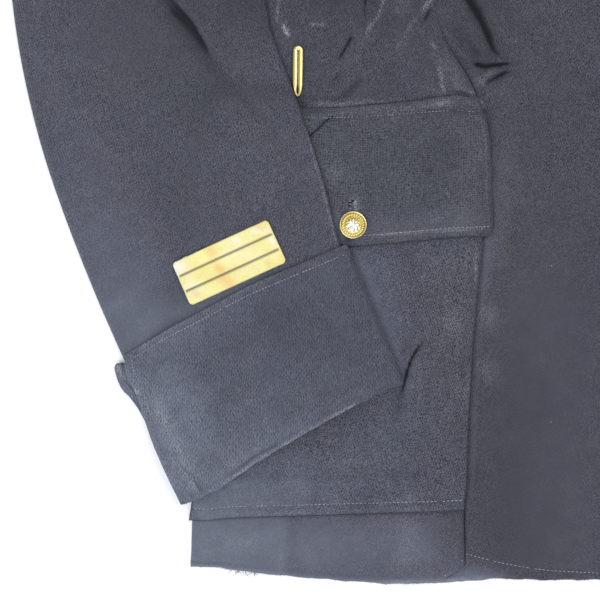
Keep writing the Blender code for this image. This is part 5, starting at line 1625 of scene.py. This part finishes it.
def belt_hook(side):
    """A belt hook: a gilt wire bent double so that its two halves lie side by side, with a small eye at the
    round top and another at the tip."""
    name = "belt_hook_" + WORD[side]
    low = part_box(name)[0][2] / MM
    long = np.linalg.norm(HOOK_TOP - HOOK_TIP)
    down = (HOOK_TIP - HOOK_TOP) / long
    over = np.array([-down[1], down[0]])
    turn = np.radians(np.linspace(0, 180, 17))
    # Along the wire: place across and down, and how wide the wire is there.
    top = [(1.68 * math.cos(a), 3.3 - 1.75 * math.sin(a), 3.1) for a in turn]
    limb = ((-1.68, 5.0, 3.3), (-1.68, 10.0, 3.35), (-1.68, 15.0, 3.4), (-1.68, 20.0, 3.35),
            (-1.66, 25.0, 3.2), (-1.70, 27.6, 2.6), (-1.42, 29.6, 2.2), (-0.75, 31.2, 2.0), (0.0, 31.7, 2.0))
    route = top + list(limb) + [(-x, v, w) for x, v, w in limb[-2::-1]]
    flat = np.array([HOOK_TOP + u * over + v * down for u, v, _ in route])
    wire = np.array([w for _, _, w in route])[:, None, None] / 2
    middle = np.column_stack([flat[:, 0] * side, flat[:, 1], np.full(len(flat), low + HOOK_WIRE / 2)])
    ahead, behind = np.roll(middle, -1, axis=0), np.roll(middle, 1, axis=0)
    normal = np.cross(unit(ahead - behind), (0, 0, 1.0))
    sides = 18
    angle = np.arange(sides) * 2 * math.pi / sides
    across = np.sign(np.cos(angle)) * np.abs(np.cos(angle)) ** 0.7
    upward = np.sign(np.sin(angle)) * np.abs(np.sin(angle)) ** 0.6
    ring = across[:, None] * normal[:, None] * wire + upward[:, None] * np.array((0, 0, HOOK_WIRE / 2))
    points = (middle[:, None] + ring).reshape(-1, 3)
    quads = tube_walls(len(middle), sides) % len(points)
    tone = np.zeros((len(middle), sides, 4))
    # Painted shade on the wire's outer sides and in the groove between its halves; the tip is darker too.
    far = np.abs((points.reshape(len(middle), sides, 3)[..., :2] * (side, 1) - HOOK_TOP) @ over)
    tone[..., SHADE_AND_SOIL] = np.clip(0.6 * eased((far - 2.2) / 1.0) + 0.3 * eased((0.6 - far) / 0.6), 0, 0.7)
    tip = eased((np.array([v for _, v, _ in route]) - 26.5) / 2.5)
    tone[..., SHADE_AND_SOIL] = np.maximum(tone[..., SHADE_AND_SOIL], 0.55 * tip[:, None])
    add_piece(name + "_gilt", mesh_of(name, points, quads, tone), GILT_HOOK, (name,))


# ---- The studio ----
def studio():
    """A pale floor, soft daylight from a window and a light from above."""
    bpy.ops.mesh.primitive_plane_add(size=6.0, location=(0, 0, -0.0006))
    floor = bpy.context.object
    floor.name = "floor"
    made, tree, shader = material_of("pale_floor")
    colour = mixed(tree, millimetres(tree).noise(0.004), (0.90, 0.90, 0.90, 1), (0.93, 0.93, 0.93, 1))
    feed(shader.inputs["Base Color"], colour)
    shader.inputs["Roughness"].default_value = 0.9
    floor.data.materials.append(made)
    world = bpy.data.worlds.new("studio_air")
    bpy.context.scene.world = world
    world.use_nodes = True
    air = world.node_tree.nodes["Background"]
    air.inputs["Color"].default_value = (0.93, 0.95, 1.0, 1)
    air.inputs["Strength"].default_value = 0.58
    lamps = (
        # name, place, aimed at, size, power, colour
        ("window_light", (-0.62, -0.80, 0.95), (-0.2, -0.15, 0.0), 1.1, 12.0, (0.92, 0.96, 1.0)),
        ("top_light", (0.4, 0.5, 2.0), (-0.1, 0.0, 0.0), 1.4, 16.0, (1.0, 0.98, 0.95)),
    )
    for name, place, aim, size, power, colour in lamps:
        lamp = bpy.data.lights.new(name, "AREA")
        lamp.shape, lamp.size, lamp.energy, lamp.color = "DISK", size, power, colour
        holder = bpy.data.objects.new(name, lamp)
        bpy.context.scene.collection.objects.link(holder)
        holder.location = place
        run = Vector(aim) - Vector(place)
        holder.rotation_euler = run.to_track_quat("-Z", "Y").to_euler()


def camera():
    """Straight down on the wearer's right hip, where sleeve, pocket and skirt meet."""
    distance, wide = 1.5, 0.378
    lens = bpy.data.cameras.new("camera")
    lens.sensor_width = 36.0
    lens.lens = lens.sensor_width * distance / wide
    lens.clip_start, lens.clip_end = 0.05, 20.0
    holder = bpy.data.objects.new("camera", lens)
    bpy.context.scene.collection.objects.link(holder)
    holder.location = (-0.2142, -0.1449, distance)
    bpy.context.scene.camera = holder


def garment():
    """Lays the tunic up piece by piece, from the table upwards."""
    pile = Pile()
    back(pile)
    for side in (RIGHT, LEFT):
        front(pile, side)
    collar_stand(pile)
    for side in (RIGHT, LEFT):
        lapel(pile, side)
    collar(pile)
    for k, y in enumerate(FRONT_BUTTON_Y):
        button(pile, f"button_front_{k + 1}", 0.0, y, FRONT_BUTTON)
    for side, word in WORD.items():
        belt_hook(side)
        gusset(pile, side)
        pocket(pile, side)
        flap(pile, side)
        out, y = POCKET_BUTTON_AT
        button(pile, "button_pocket_" + word, side * out, y, POCKET_BUTTON)
        low = cuff_under(pile, side)
        sleeve(pile, "sleeve_under_" + word, side, UNDER_SLEEVE_INSET, UNDER_SLEEVE_CELL, ())
        sleeve(pile, "sleeve_top_" + word, side, 0.0, SLEEVE_CELL[side], SLEEVE_FOLDS,
               SLEEVE_MARKS)
        cuff(pile, side, low)
        rank_lace(pile, side)


studio()
camera()
garment()
bpy.context.view_layer.update()
bpy.context.scene.view_settings.view_transform = "Standard"
